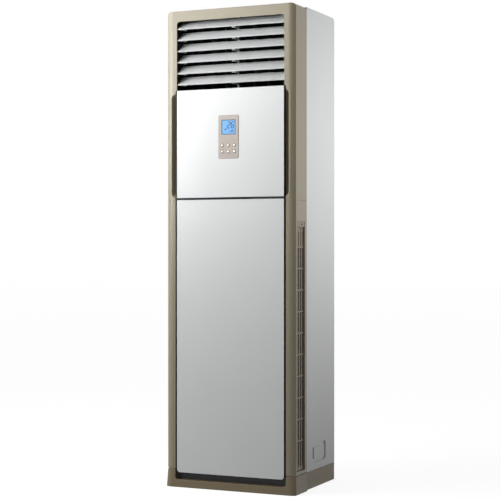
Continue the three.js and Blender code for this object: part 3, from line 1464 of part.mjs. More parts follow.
// Forward curved blades between a back plate and a front ring, on a boss that takes the shaft.
function impeller() {
  const front = FAN_FRONT_Y + IMPELLER_END_GAP;
  const back = front + IMPELLER_WIDTH;
  const inner = IMPELLER_RADIUS - BLADE_DEPTH;
  const wheel = turned(
    [
      [0, back - 3],
      [IMPELLER_RADIUS, back - 3],
      [IMPELLER_RADIUS, back],
      [0, back],
    ],
    0,
    FAN_HEIGHT,
    24,
  );
  const rim = cut(
    rod("y", IMPELLER_RADIUS, front, front + 4, 0, FAN_HEIGHT, 24),
    rod("y", IMPELLER_RADIUS - 12, front - 1, front + 5, 0, FAN_HEIGHT, 24),
  );
  const boss = rod("y", SHAFT_RADIUS + 13, back - 34, back - 1, 0, FAN_HEIGHT, 16);
  const hole = bore("y", SHAFT_RADIUS + FIT, back - 35, back + 1, 0, FAN_HEIGHT, 16);
  const mean = (IMPELLER_RADIUS + inner) / 2 - 1;
  const half = BLADE_DEPTH / 2 - 0.6;
  const bow = outline(
    [-1, 0, 1]
      .map((s) => [mean + s * half, BLADE_BULGE * (s * s - 1) - BLADE_THICKNESS / 2])
      .concat([1, 0, -1].map((s) => [mean + s * half, BLADE_BULGE * (s * s - 1) + BLADE_THICKNESS / 2])),
  );
  const blades = [];
  for (let k = 0; k < BLADE_COUNT; k++) {
    const geometry = new THREE.ExtrudeGeometry(bow, { depth: IMPELLER_WIDTH - 4, bevelEnabled: false });
    geometry.translate(0, 0, 2);
    geometry.rotateZ((k * 2 * Math.PI) / BLADE_COUNT);
    geometry.rotateX(Math.PI / 2);
    geometry.translate(0, back, FAN_HEIGHT);
    blades.push(solid(geometry));
  }
  return cut(join(wheel, rim, boss, ...blades), hole);
}

function fanMotor() {
  const wall = FAN_BACK_Y + SCROLL_WALL + FIT;
  const front = FAN_FRONT_Y + IMPELLER_END_GAP;
  const flange = 5;
  const can = turned(
    [
      [0, wall],
      [FAN_MOTOR_RADIUS + 14, wall],
      [FAN_MOTOR_RADIUS + 14, wall + flange],
      [FAN_MOTOR_RADIUS, wall + flange],
      [FAN_MOTOR_RADIUS, wall + FAN_MOTOR_LENGTH - 10],
      [FAN_MOTOR_RADIUS - 10, wall + FAN_MOTOR_LENGTH],
      [0, wall + FAN_MOTOR_LENGTH],
    ],
    0,
    FAN_HEIGHT,
    20,
  );
  return join(can, rod("y", SHAFT_RADIUS, front + IMPELLER_WIDTH - 32, wall + 1, 0, FAN_HEIGHT, 16));
}

// ---------------------------------------------------------------- heat exchanger

// A block in the sloping frame of the coil: x across, d through it, h along its slope.
function coilBox(x0, x1, d0, d1, h0, h1) {
  const geometry = new THREE.BoxGeometry(Math.abs(x1 - x0), Math.abs(d1 - d0), Math.abs(h1 - h0));
  geometry.translate((x0 + x1) / 2, (d0 + d1) / 2, (h0 + h1) / 2);
  geometry.rotateX(-COIL_TURN).translate(0, COIL_CENTRE_Y, COIL_CENTRE_Z);
  return solid(geometry);
}

// Fins are shown as deep grooves across both faces, with end plates and the tube bends.
function evaporator() {
  const half = COIL_THICKNESS / 2;
  const rise = COIL_LENGTH / 2;
  const plate = (x) =>
    coilBox(x, x + COIL_END_PLATE, -COIL_HALF_DEPTH, COIL_HALF_DEPTH, -COIL_RISE, COIL_RISE);
  const pieces = [coilBox(-COIL_HALF_WIDTH, COIL_HALF_WIDTH, -half, half, -rise, rise)];
  pieces.push(plate(-COIL_HALF_WIDTH - 1), plate(COIL_HALF_WIDTH + 1 - COIL_END_PLATE));
  const grooves = [];
  for (let k = 1; k < FIN_GROOVES; k++) {
    const x = -COIL_HALF_WIDTH + (2 * COIL_HALF_WIDTH * k) / FIN_GROOVES;
    grooves.push(coilBox(x - 3, x + 3, half - 3, half + 1, -rise + 6, rise - 6));
    grooves.push(coilBox(x - 3, x + 3, -half - 1, -half + 3, -rise + 6, rise - 6));
  }
  for (let k = 0; k < BEND_COUNT; k++) {
    pieces.push(tubeBend(((k + 0.5) / BEND_COUNT - 0.5) * (COIL_LENGTH - BEND_MARGIN)));
  }
  return join(cut(pieces[0], ...grooves), ...pieces.slice(1));
}

// One return bend stands out from the right end plate.
function tubeBend(h) {
  const x = COIL_HALF_WIDTH;
  const at = (dx, d) =>
    new THREE.Vector3(x + dx, d, h)
      .applyAxisAngle(new THREE.Vector3(1, 0, 0), -COIL_TURN)
      .add(new THREE.Vector3(0, COIL_CENTRE_Y, COIL_CENTRE_Z));
  const path = [at(-1, -BEND_RADIUS)];
  for (let i = 0; i <= 4; i++) {
    const turn = (Math.PI * i) / 4 - Math.PI / 2;
    path.push(at(8 + BEND_RADIUS * Math.cos(turn), BEND_RADIUS * Math.sin(turn)));
  }
  path.push(at(-1, BEND_RADIUS));
  return bar(path, TUBE_RADIUS, 6);
}

// The pan under the low edge of the coil, with two cradles that carry it.
function drainPan() {
  const middle = COIL_CENTRE_Y - COIL_RISE * Math.sin(COIL_TURN);
  const front = middle - COIL_HALF_DEPTH - PAN_MARGIN;
  const back = middle + COIL_HALF_DEPTH + PAN_MARGIN;
  const half = COIL_HALF_WIDTH + PAN_MARGIN;
  const floor = SHELF_TOP + FIT;
  const tray = cut(
    box(-half, half, front, back, floor, floor + PAN_DEPTH),
    box(-half + 2, half - 2, front + 2, back - 2, floor + 2, floor + PAN_DEPTH + 1),
  );
  const cradles = [-1, 1].map((side) => {
    const x = side * (COIL_HALF_WIDTH - 30);
    return box(x - 4, x + 4, front + 1, back - 1, floor + 1, floor + PAN_DEPTH);
  });
  const room = coilBox(
    -COIL_HALF_WIDTH - PAN_MARGIN,
    COIL_HALF_WIDTH + PAN_MARGIN,
    -COIL_HALF_DEPTH - FIT,
    COIL_HALF_DEPTH + FIT,
    -COIL_RISE - FIT,
    COIL_RISE,
  );
  return cut(join(tray, ...cradles), room);
}

// The steel shelf between the fan and the coil, folded down at its sides.
function shelf() {
  const half = METAL_INNER - FIT;
  const front = WRAP_BACK_Y - SHELF_TONGUE;
  const back = REAR_SHEET_Y - SHEET - FIT;
  const narrow = METAL_INNER - FOLD - PLASTIC_WALL;
  const plate = join(
    box(-half, half, METAL_FRONT_Y + SHEET + FIT, back, SHELF_HEIGHT, SHELF_TOP),
    box(-narrow, narrow, front, METAL_FRONT_Y + 10, SHELF_HEIGHT, SHELF_TOP),
  );
  const folds = [-1, 1].map((side) =>
    box(
      side * half,
      side * (half - SHEET),
      METAL_FRONT_Y + FOLD,
      back,
      SHELF_HEIGHT - SHELF_FOLD,
      SHELF_HEIGHT + 0.5,
    ),
  );
  const first = THREE.MathUtils.degToRad(SCROLL_CUTOFF);
  const throat = box(
    SCROLL_START * Math.cos(first),
    SCROLL_END,
    FAN_FRONT_Y,
    FAN_BACK_Y,
    SHELF_HEIGHT - 1,
    SHELF_TOP + 1,
  );
  const pipes = pipePlaces().map(([x, y, radius]) =>
    bore("z", radius + PIN_PLAY, SHELF_HEIGHT - 1, SHELF_TOP + 1, x, y, 16),
  );
  return cut(join(plate, ...folds), throat, ...pipes);
}

const pipePlaces = () => [
  [PIPE_X, PIPE_Y, SUCTION_RADIUS],
  [PIPE_X, PIPE_Y + PIPE_SPACING, LIQUID_RADIUS],
];

// A pipe leaves the end of the coil, comes down beside the fan and turns out to the rear opening.
function pipe([x, y, radius], bottom) {
  const slope = Math.tan(COIL_TURN);
  const top = COIL_CENTRE_Z + (y - COIL_CENTRE_Y) / slope;
  const [right, up, back] = [
    new THREE.Vector3(1, 0, 0),
    new THREE.Vector3(0, 0, 1),
    new THREE.Vector3(0, 1, 0),
  ];
  const bend = radius * 2;
  const points = [
    new THREE.Vector3(-COIL_HALF_WIDTH - 1 - FIT, y, top),
    ...elbow(new THREE.Vector3(x, y, top), right, up.clone().negate(), bend),
    ...elbow(new THREE.Vector3(x, y, bottom), up, back, bend),
    new THREE.Vector3(x, BACK_Y - PIPE_END, bottom),
  ];
  const nut = rod("y", radius * 1.5, BACK_Y - PIPE_END - 14, BACK_Y - PIPE_END + 2, x, bottom, 6);
  return join(bar(points, radius), nut);
}

// ---------------------------------------------------------------- control box

const BOX_TOP = SHELF_HEIGHT - FIT;
const BOX_BACK_Y = FAN_FRONT_Y - SCROLL_WALL - BOX_GAP;

function controlBox() {
  const [x0, x1] = [BOX_CENTRE - BOX_WIDTH / 2, BOX_CENTRE + BOX_WIDTH / 2];
  const front = BOX_BACK_Y - BOX_DEPTH;
  const body = cut(
    box(x0, x1, front, BOX_BACK_Y, BOX_TOP - BOX_HEIGHT, BOX_TOP),
    box(x0 + SHEET, x1 - SHEET, front - 1, BOX_BACK_Y - SHEET, BOX_TOP - BOX_HEIGHT + SHEET, BOX_TOP - SHEET),
  );
  const posts = [];
  for (const dx of [-1, 1]) {
    for (const dz of [-1, 1]) {
      const x = BOX_CENTRE + dx * (BOX_WIDTH / 2 - POST_INSET);
      const z = BOX_TOP - BOX_HEIGHT / 2 + dz * (BOX_HEIGHT / 2 - POST_INSET);
      posts.push(rod("y", POST_RADIUS, BOX_BACK_Y - POST_HEIGHT, BOX_BACK_Y - 1, x, z, 8));
    }
  }
  return join(body, ...posts);
}

function controlBoard() {
  const back = BOX_BACK_Y - POST_HEIGHT - FIT;
  const middle = BOX_TOP - BOX_HEIGHT / 2;
  const board = box(
    BOX_CENTRE - BOX_WIDTH / 2 + BOARD_MARGIN,
    BOX_CENTRE + BOX_WIDTH / 2 - BOARD_MARGIN,
    back - BOARD_THICKNESS,
    back,
    middle - BOX_HEIGHT / 2 + BOARD_MARGIN,
    middle + BOX_HEIGHT / 2 - BOARD_MARGIN,
  );
  const face = back - BOARD_THICKNESS + 0.5;
  const row = middle + COMPONENT_RISE;
  const left = BOX_CENTRE - BOX_WIDTH / 2 + COMPONENT_MARGIN;
  const right = BOX_CENTRE + BOX_WIDTH / 2 - COMPONENT_MARGIN;
  const low = middle - BOX_HEIGHT / 2 + COMPONENT_MARGIN;
  const block = (from, to, depth, bottom, top) => box(from, to, face - depth, face, bottom, top);
  const relay = left + TRANSFORMER_WIDTH + COMPONENT_GAP;
  const tall = TRANSFORMER_HEIGHT / 2;
  const short = RELAY_HEIGHT / 2;
  const capacitors = [0, 1].map((k) => {
    const x = right - CAPACITOR_RADIUS - k * CAPACITOR_PITCH;
    return rod("y", CAPACITOR_RADIUS, face - CAPACITOR_HEIGHT, face, x, row, 12);
  });
  return join(
    board,
    block(left, left + TRANSFORMER_WIDTH, TRANSFORMER_DEPTH, row - tall, row + tall),
    block(relay, relay + RELAY_WIDTH, RELAY_DEPTH, row - short, row + short),
    block(left, right, TERMINAL_DEPTH, low, low + TERMINAL_HEIGHT),
    ...capacitors,
  );
}

function controlBoxCover() {
  const [x0, x1] = [BOX_CENTRE - BOX_WIDTH / 2, BOX_CENTRE + BOX_WIDTH / 2];
  const front = BOX_BACK_Y - BOX_DEPTH - FIT;
  const low = BOX_TOP - BOX_HEIGHT;
  const grow = SHEET + FIT;
  return cut(
    box(x0 - grow, x1 + grow, front - SHEET, front + 12, low - grow, BOX_TOP - FIT),
    box(x0 - FIT, x1 + FIT, front, front + 13, low - FIT, BOX_TOP + 1),
  );
}

// ---------------------------------------------------------------- the object

const add = (name, shape, material) => {
  const node = mesh(name, shape, material);
  root.add(node);
  return node;
};

add("base_front_cover", baseFrontCover(), CHAMPAGNE);
add("base_tray", baseTray(), DARK_CHAMPAGNE);
add("left_rear_foot", rearFoot(footPlaces()[0]), RUBBER);
add("right_rear_foot", rearFoot(footPlaces()[1]), RUBBER);
add("lower_front_frame", lowerFrontFrame(), CHAMPAGNE);
add("upper_front_frame", upperFrontFrame(), CHAMPAGNE);
add("upper_front_panel", upperFrontPanel(), GLOSS_PANEL);
add("lower_front_panel", lowerFrontPanel(), GLOSS_PANEL);
add("panel_trim_strip", trimStrip(), POLISHED);

add("display_bezel", displayBezel(), BEZEL_ROSE);
add("display_lcd", displayLcd(), LCD_BLUE);
add("display_circuit_board", displayBoard(), BOARD_GREEN);
buttonPlaces().forEach((place, i) => {
  add("display_button_" + (i + 1), displayButton(place), BEZEL_ROSE);
});

add("air_outlet_duct", outletDuct(), BLACK_PLASTIC);
add("outlet_foam_liner", foamLiner(), BLACK_FOAM);
add("louvre_centre_support", centreSupport(), BLACK_PLASTIC);
for (let k = 0; k < LOUVRE_COUNT; k++) {
  const slat = add("louvre_" + (k + 1), louvre(k === 0), LOUVRE_GREY);
  slat.position.set(0, LOUVRE_Y, louvreZ(k));
  slat.rotation.x = REST_TURN;
}
add("louvre_link_bar", louvreLinkBar(), BLACK_PLASTIC);
add("louvre_drive_motor", louvreMotor(), WHITE_PLASTIC);
for (let k = 0; k < VANE_COUNT; k++) {
  const blade = add("vane_" + (k + 1), vane(k === (VANE_COUNT - 1) / 2), BLACK_PLASTIC);
  blade.position.set(vaneX(k), VANE_Y, 0);
}
add("vane_link_bar", vaneLinkBar(), BLACK_PLASTIC);
add("vane_drive_motor", vaneMotor(), WHITE_PLASTIC);

for (const [label, side] of [["left", -1], ["right", 1]]) {
  add(label + "_intake_grille", intakeGrille(side), DARK_CHAMPAGNE);
  add(label + "_air_filter", airFilter(side), FILTER_MESH);
  add(label + "_side_panel", sidePanel(side), PAINTED_STEEL);
}
add("top_cover", topCover(), PAINTED_STEEL);
add("upper_rear_panel", upperRearPanel(), GALVANISED);
add("lower_rear_panel", lowerRearPanel(), GALVANISED);

add("fan_scroll", fanScroll(), GALVANISED);
add("fan_inlet_ring", inletRing(), GALVANISED);
add("fan_impeller", impeller(), BLACK_PLASTIC);
add("fan_motor", fanMotor(), GALVANISED);
add("inner_shelf", shelf(), GALVANISED);
add("drain_pan", drainPan(), WHITE_PLASTIC);
add("evaporator", evaporator(), FIN_ALUMINIUM);
add("suction_pipe", pipe(pipePlaces()[0], PIPE_EXIT_Z - 15), COPPER);
add("liquid_pipe", pipe(pipePlaces()[1], PIPE_EXIT_Z + 15), COPPER);
add("control_box", controlBox(), GALVANISED);
add("control_board", controlBoard(), BOARD_GREEN);
add("control_box_cover", controlBoxCover(), GALVANISED);

export default root;
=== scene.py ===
# %% [markdown]
# # A floor standing air conditioner
# The real thing is a tall cabinet: champagne silver plastic in front, painted sheet steel behind,
# two glossy white panels, and an air outlet of six tilting louvres. The solids come from the CAD
# program with every size settled. This script gives them their light, finishes and fine shapes.

# %% Load the solids
import json
import math

import bmesh
import bpy
import numpy as np
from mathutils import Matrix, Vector

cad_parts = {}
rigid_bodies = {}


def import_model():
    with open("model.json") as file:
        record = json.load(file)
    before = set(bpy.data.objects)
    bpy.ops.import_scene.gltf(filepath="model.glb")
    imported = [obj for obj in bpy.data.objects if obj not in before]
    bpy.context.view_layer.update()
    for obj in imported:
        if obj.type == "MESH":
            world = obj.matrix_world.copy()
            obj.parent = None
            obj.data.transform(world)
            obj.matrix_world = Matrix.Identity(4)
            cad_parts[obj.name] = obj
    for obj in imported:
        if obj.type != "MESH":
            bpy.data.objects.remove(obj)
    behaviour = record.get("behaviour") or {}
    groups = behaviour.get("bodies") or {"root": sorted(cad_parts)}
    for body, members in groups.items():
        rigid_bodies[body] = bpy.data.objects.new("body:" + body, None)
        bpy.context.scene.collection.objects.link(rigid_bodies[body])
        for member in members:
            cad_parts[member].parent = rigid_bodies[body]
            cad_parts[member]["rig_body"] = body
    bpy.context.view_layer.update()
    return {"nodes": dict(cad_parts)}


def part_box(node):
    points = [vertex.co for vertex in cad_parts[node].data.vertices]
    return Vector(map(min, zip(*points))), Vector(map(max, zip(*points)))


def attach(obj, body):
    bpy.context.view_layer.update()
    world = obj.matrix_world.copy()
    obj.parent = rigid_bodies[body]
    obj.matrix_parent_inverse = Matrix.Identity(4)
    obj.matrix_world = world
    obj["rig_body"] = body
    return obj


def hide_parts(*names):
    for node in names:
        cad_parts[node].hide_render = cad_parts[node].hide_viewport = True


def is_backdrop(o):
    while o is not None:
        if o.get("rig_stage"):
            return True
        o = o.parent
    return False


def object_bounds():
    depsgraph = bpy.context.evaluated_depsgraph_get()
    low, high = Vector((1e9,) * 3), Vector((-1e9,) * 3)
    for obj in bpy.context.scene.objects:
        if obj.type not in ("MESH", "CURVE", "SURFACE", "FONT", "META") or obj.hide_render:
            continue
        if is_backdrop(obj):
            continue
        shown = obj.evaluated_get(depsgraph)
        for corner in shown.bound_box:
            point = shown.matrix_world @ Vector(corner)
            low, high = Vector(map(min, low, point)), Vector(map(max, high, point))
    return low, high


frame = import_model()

nodes = frame["nodes"]

# %% [markdown]
# ## The camera
# The photograph was taken from the right of the front, at half the cabinet's height and looking
# level, so its upright edges stay parallel. The angle, distance and lens were worked out from six
# corners of the cabinet by least squares. They put each corner within 0.9 pixel of its place in the
# photograph, and the error of one coordinate is 0.4 pixel as a root mean square.

# %% Place the camera
AZIMUTH = math.radians(24.45)
DISTANCE = 5.442
SIDE_STEP = -0.0056
EYE_HEIGHT = 0.9092
LENS_MM = 100.38

back = Vector((math.sin(AZIMUTH), -math.cos(AZIMUTH), 0))
right = Vector((math.cos(AZIMUTH), math.sin(AZIMUTH), 0))
camera = bpy.data.objects.new("camera", bpy.data.cameras.new("camera"))
bpy.context.scene.collection.objects.link(camera)
camera.location = back * DISTANCE + right * SIDE_STEP + Vector((0, 0, EYE_HEIGHT))
camera.rotation_euler = (-back).to_track_quat("-Z", "Y").to_euler()
camera.data.sensor_width = 36
camera.data.lens = LENS_MM
bpy.context.scene.camera = camera
print("camera at", [round(v, 3) for v in camera.location], "lens", LENS_MM, "mm")

# %% [markdown]
# ## Two helpers for materials
# Shader sockets hold linear light, while colours are picked from a picture in sRGB. One function
# turns a hex colour to linear, and one adds a node with its settings and links.

# %% Colour and node helpers
def linear(code, alpha=1.0):
    """sRGB hex to linear: c / 12.92 below 0.04045, else ((c + 0.055) / 1.055) to the power 2.4."""
    srgb = np.array([int(code[i:i + 2], 16) for i in (1, 3, 5)]) / 255
    out = np.where(srgb <= 0.04045, srgb / 12.92, ((srgb + 0.055) / 1.055) ** 2.4)
    return (*out.tolist(), alpha)


def add(tree, kind, inputs=None, **settings):
    """Adds one node, sets its properties, and fills or links its inputs."""
    node = tree.nodes.new(kind)
    for name, value in settings.items():
        setattr(node, name, value)
    for socket, value in (inputs or {}).items():
        if isinstance(value, bpy.types.NodeSocket):
            tree.links.new(value, node.inputs[socket])
        else:
            node.inputs[socket].default_value = value
    return node


def material(name, colour, roughness, metallic=0.0, **sockets):
    """Starts a material and returns it with its tree, shader and Object coordinates."""
    made = bpy.data.materials.new(name)
    made.use_nodes = True
    tree = made.node_tree
    shader = tree.nodes["Principled BSDF"]
    shader.inputs["Base Color"].default_value = linear(colour)
    shader.inputs["Roughness"].default_value = roughness
    shader.inputs["Metallic"].default_value = metallic
    for socket, value in sockets.items():
        shader.inputs[socket.replace("_", " ")].default_value = value
    place = add(tree, "ShaderNodeTexCoord").outputs["Object"]
    return made, tree, shader, place


def blend_colours(tree, factor, first, second):
    """Mixes two hex colours by a factor socket."""
    mix = add(tree, "ShaderNodeMix", {"Factor": factor}, data_type="RGBA")
    mix.inputs["A"].default_value = linear(first)
    mix.inputs["B"].default_value = linear(second)
    return mix.outputs["Result"]


# %% [markdown]
# ## Light
# Soft studio light. Two large lamps hang high on the left of the front, so the light falls off down
# the cabinet as it does in the photograph. A tall narrow one reaches the left column, two small ones
# with narrow beams light the header and the louvres, and one lights the right side. The sky is white
# to the eye and in reflections, and weak for the light it gives. The watts were first found by least
# squares on renders of each lamp alone, and then set one by one.

# %% The sky
SKY_STRENGTH = 0.12


def seen_by_eye(tree):
    """1 for rays from the camera, a reflection or a clear material, and 0 for all others."""
    rays = add(tree, "ShaderNodeLightPath")
    seen = rays.outputs["Is Camera Ray"]
    for kind in ("Is Glossy Ray", "Is Transmission Ray"):
        seen = add(tree, "ShaderNodeMath", {0: seen, 1: rays.outputs[kind]}, operation="MAXIMUM").outputs[0]
    return seen


world = bpy.data.worlds.new("studio")
bpy.context.scene.world = world
world.use_nodes = True
sky = world.node_tree
level = add(sky, "ShaderNodeMapRange", {"Value": seen_by_eye(sky), "To Min": SKY_STRENGTH,
                                        "To Max": 1.0})
backdrop = sky.nodes["Background"]
backdrop.inputs["Color"].default_value = (1, 1, 1, 1)
sky.links.new(level.outputs["Result"], backdrop.inputs["Strength"])


# %% The lamps
def lamp(name, place, target, width, height, watts, spread=180):
    """A rectangular lamp at a place, turned to face a target, with its beam held in a spread angle."""
    light = bpy.data.lights.new(name, "AREA")
    light.shape = "RECTANGLE"
    light.size, light.size_y = width, height
    light.energy = watts
    light.spread = math.radians(spread)
    made = bpy.data.objects.new(name, light)
    bpy.context.scene.collection.objects.link(made)
    made.location = place
    made.rotation_euler = (Vector(target) - Vector(place)).to_track_quat("-Z", "Y").to_euler()
    print("lamp", name, watts, "W at", place)


lamp("key_lamp", (-1.9, -1.9, 2.2), (0, -0.2, 1.5), 1.4, 1.6, 46)
lamp("left_lamp", (-2.6, -1.0, 2.0), (0, -0.2, 1.5), 1.2, 1.4, 29)
lamp("tall_left_lamp", (-2.32, -1.4, 1.1), (-0.25, -0.19, 1.0), 0.3, 2.0, 5)
lamp("header_lamp", (-1.1, -2.5, 2.25), (0, -0.2, 1.6), 0.8, 0.6, 3.2, spread=90)
lamp("outlet_lamp", (-2.0, -2.2, 1.45), (0, -0.2, 1.9), 1.0, 0.8, 4.4, spread=55)
lamp("side_lamp", (2.4, 1.0, 1.5), (0.27, 0.1, 1.35), 1.0, 0.8, 6.1, spread=60)

# %% [markdown]
# ## Floor
# A plain pale floor. To the camera it is white with the cabinet's soft shadow on it: a part of its
# brightness is given off, and the rest is lit, so that only the lit part darkens in the shadow.

# %% Make the floor
FLOOR_REACH = 30.0
FLOOR_GLOW = 0.88

floor_mesh = bpy.data.meshes.new("floor")
corners = [(x * FLOOR_REACH, y * FLOOR_REACH, 0) for x, y in ((-1, -1), (1, -1), (1, 1), (-1, 1))]
floor_mesh.from_pydata(corners, [], [(0, 1, 2, 3)])
floor = bpy.data.objects.new("floor", floor_mesh)
bpy.context.scene.collection.objects.link(floor)
floor_paint, tree, shader, place = material("matt_floor_paint", "#767675", 0.9)
glow = add(tree, "ShaderNodeMath", {0: seen_by_eye(tree), 1: FLOOR_GLOW}, operation="MULTIPLY")
shader.inputs["Emission Color"].default_value = (1, 1, 1, 1)
tree.links.new(glow.outputs[0], shader.inputs["Emission Strength"])
floor_mesh.materials.append(floor_paint)
floor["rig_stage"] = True

# %% [markdown]
# ## Finishes
# Each finish is named for what it is and how it was made. Patterns are scaled from millimetres on
# the real surface: a size in mm becomes a texture scale of 1000 divided by that size, because the
# coordinates are in metres.

# %% Moulded plastics
def per_mm(size_mm):
    """The texture scale at which a pattern repeats about every size_mm."""
    return 1000.0 / size_mm


def moulded(name, colour, shade, roughness, grain_mm, relief, **sockets):
    """Moulded plastic with a spark-eroded grain: fine noise as bump, and a slow drift of colour."""
    made, tree, shader, place = material(name, colour, roughness, **sockets)
    drift = add(tree, "ShaderNodeTexNoise", {"Vector": place, "Scale": per_mm(260), "Detail": 2.0})
    grain = add(tree, "ShaderNodeTexNoise", {"Vector": place, "Scale": per_mm(grain_mm), "Detail": 3.0})
    tree.links.new(blend_colours(tree, drift.outputs["Fac"], colour, shade), shader.inputs["Base Color"])
    rough = add(tree, "ShaderNodeMapRange", {"Value": grain.outputs["Fac"], "To Min": roughness - 0.05,
                                             "To Max": roughness + 0.06})
    tree.links.new(rough.outputs["Result"], shader.inputs["Roughness"])
    bump = add(tree, "ShaderNodeBump", {"Height": grain.outputs["Fac"], "Strength": relief,
                                        "Distance": 0.0004})
    tree.links.new(bump.outputs["Normal"], shader.inputs["Normal"])
    return made


champagne = moulded("champagne_painted_abs", "#8F8770", "#898069", 0.33, 2.5, 0.07)
brown_champagne = moulded("champagne_base_abs", "#776A50", "#706348", 0.42, 2.5, 0.08)
dark_champagne = moulded("champagne_grille_abs", "#7D7260", "#746856", 0.42, 2.5, 0.10)
satin_white = moulded("satin_white_abs", "#DDDFDF", "#D8DADA", 0.36, 2.0, 0.06)
# Painted shade: the outlet's foam liner is near-black for the shade deep in the outlet.
outlet_shade_black = moulded("foam_liner_black_painted_outlet_shade", "#08090A", "#0C0D0E", 0.85, 4.0, 0.35)
# Black moulded plastic, also used as painted shade: on the outlet's duct and vanes, the panels' sides and the
# toe recess's back wall.
black_plastic_and_painted_shade = moulded("black_moulded_plastic_and_painted_shade", "#0B0C0D", "#101112", 0.55, 2.0, 0.08)
natural_white = moulded("natural_polystyrene", "#D6D6CF", "#CECEC6", 0.55, 3.5, 0.20)
pearl_beige = moulded("pearl_painted_abs", "#B5ABA3", "#AFA49B", 0.36, 2.0, 0.05)
pearl_button = moulded("pearl_lacquered_abs", "#B8ADA2", "#B0A498", 0.26, 2.0, 0.02, metallic=0.4,
                       Coat_Weight=1.0, Coat_Roughness=0.18)
grey_nylon = moulded("glass_filled_nylon", "#4A4E50", "#3F4345", 0.55, 1.5, 0.15)

# %% Gloss panels
gloss_white, tree, shader, place = material("gloss_white_abs", "#DDDFDF", 0.30, Coat_Weight=0.3,
                                            Coat_Roughness=0.15)
ripple = add(tree, "ShaderNodeTexNoise", {"Vector": place, "Scale": per_mm(180), "Detail": 1.0})
bump = add(tree, "ShaderNodeBump", {"Height": ripple.outputs["Fac"], "Strength": 0.03, "Distance": 0.002})
tree.links.new(bump.outputs["Normal"], shader.inputs["Normal"])
tree.links.new(blend_colours(tree, ripple.outputs["Fac"], "#DFE1E1", "#DBDDDD"), shader.inputs["Base Color"])

# %% Sheet metals
def powder_coated(name, colour, tones, roughness, peel_mm, relief, drift_mm):
    """Powder-coated steel: the baked powder's orange peel as bump, and a slow drift of colour."""
    made, tree, shader, place = material(name, colour, roughness)
    peel = add(tree, "ShaderNodeTexNoise", {"Vector": place, "Scale": per_mm(peel_mm), "Detail": 2.0})
    bump = add(tree, "ShaderNodeBump", {"Height": peel.outputs["Fac"], "Strength": relief,
                                        "Distance": 0.0005})
    tree.links.new(bump.outputs["Normal"], shader.inputs["Normal"])
    drift = add(tree, "ShaderNodeTexNoise", {"Vector": place, "Scale": per_mm(drift_mm), "Detail": 1.0})
    tree.links.new(blend_colours(tree, drift.outputs["Fac"], *tones), shader.inputs["Base Color"])
    return made


powder_coat = powder_coated("powder_coated_steel", "#D6D8D7", ("#D8DAD9", "#D3D5D5"), 0.34, 5, 0.06, 300)
champagne_steel = powder_coated("champagne_powder_coated_steel", "#776A4C", ("#7A6D50", "#716448"), 0.5,
                                4, 0.10, 200)

zinc, tree, shader, place = material("galvanised_steel", "#9AA0A2", 0.42, 1.0)
spangle = add(tree, "ShaderNodeTexVoronoi", {"Vector": place, "Scale": per_mm(14)}, feature="F1")
tone = add(tree, "ShaderNodeSeparateColor", {"Color": spangle.outputs["Color"]})
tree.links.new(blend_colours(tree, tone.outputs["Red"], "#8E9497", "#A9AFB1"), shader.inputs["Base Color"])
rough = add(tree, "ShaderNodeMapRange", {"Value": tone.outputs["Green"], "To Min": 0.34, "To Max": 0.52})
tree.links.new(rough.outputs["Result"], shader.inputs["Roughness"])

black_chrome, tree, shader, place = material("black_chrome_plated_trim", "#3C3E40", 0.16, 1.0)
haze = add(tree, "ShaderNodeTexNoise", {"Vector": place, "Scale": per_mm(30), "Detail": 3.0})
rough = add(tree, "ShaderNodeMapRange", {"Value": haze.outputs["Fac"], "To Min": 0.12, "To Max": 0.22})
tree.links.new(rough.outputs["Result"], shader.inputs["Roughness"])
tree.links.new(blend_colours(tree, haze.outputs["Fac"], "#36383A", "#434547"), shader.inputs["Base Color"])

copper, tree, shader, place = material("drawn_copper", "#B87A52", 0.32, 1.0)
tarnish = add(tree, "ShaderNodeTexNoise", {"Vector": place, "Scale": per_mm(25), "Detail": 4.0})
tree.links.new(blend_colours(tree, tarnish.outputs["Fac"], "#C4875E", "#96603F"), shader.inputs["Base Color"])

# %% Aluminium fins
fins, tree, shader, place = material("stamped_aluminium_fins", "#C3C8CC", 0.38, 1.0)
# Painted shade: the bands are light on the fins and dark for the shade in the gaps between them.
rows = add(tree, "ShaderNodeTexWave", {"Vector": place, "Scale": per_mm(2.0) / 20, "Distortion": 0.0},
           bands_direction="X")
tree.links.new(blend_colours(tree, rows.outputs["Fac"], "#7E858A", "#D3D8DB"), shader.inputs["Base Color"])
bump = add(tree, "ShaderNodeBump", {"Height": rows.outputs["Fac"], "Strength": 0.4, "Distance": 0.001})
tree.links.new(bump.outputs["Normal"], shader.inputs["Normal"])

# %% Rubber, circuit board, filter net and display
rubber = moulded("moulded_rubber", "#1C1C1D", "#232324", 0.75, 2.5, 0.2)

laminate, tree, shader, place = material("green_circuit_laminate", "#1E5233", 0.35)
tracks = add(tree, "ShaderNodeTexBrick", {"Vector": place, "Scale": per_mm(20), "Mortar Size": 0.06})
tracks.inputs["Color1"].default_value = linear("#1E5233")
tracks.inputs["Color2"].default_value = linear("#235C3A")
tracks.inputs["Mortar"].default_value = linear("#2F7A4D")
tree.links.new(tracks.outputs["Color"], shader.inputs["Base Color"])

net, tree, shader, place = material("woven_nylon_net", "#33383C", 0.7)
warp = add(tree, "ShaderNodeTexWave", {"Vector": place, "Scale": per_mm(3) / 20}, bands_direction="Y")
weft = add(tree, "ShaderNodeTexWave", {"Vector": place, "Scale": per_mm(3) / 20}, bands_direction="Z")
both = add(tree, "ShaderNodeMath", {0: warp.outputs["Fac"], 1: weft.outputs["Fac"]}, operation="MAXIMUM")
tree.links.new(blend_colours(tree, both.outputs[0], "#1B1E21", "#5A6268"), shader.inputs["Base Color"])

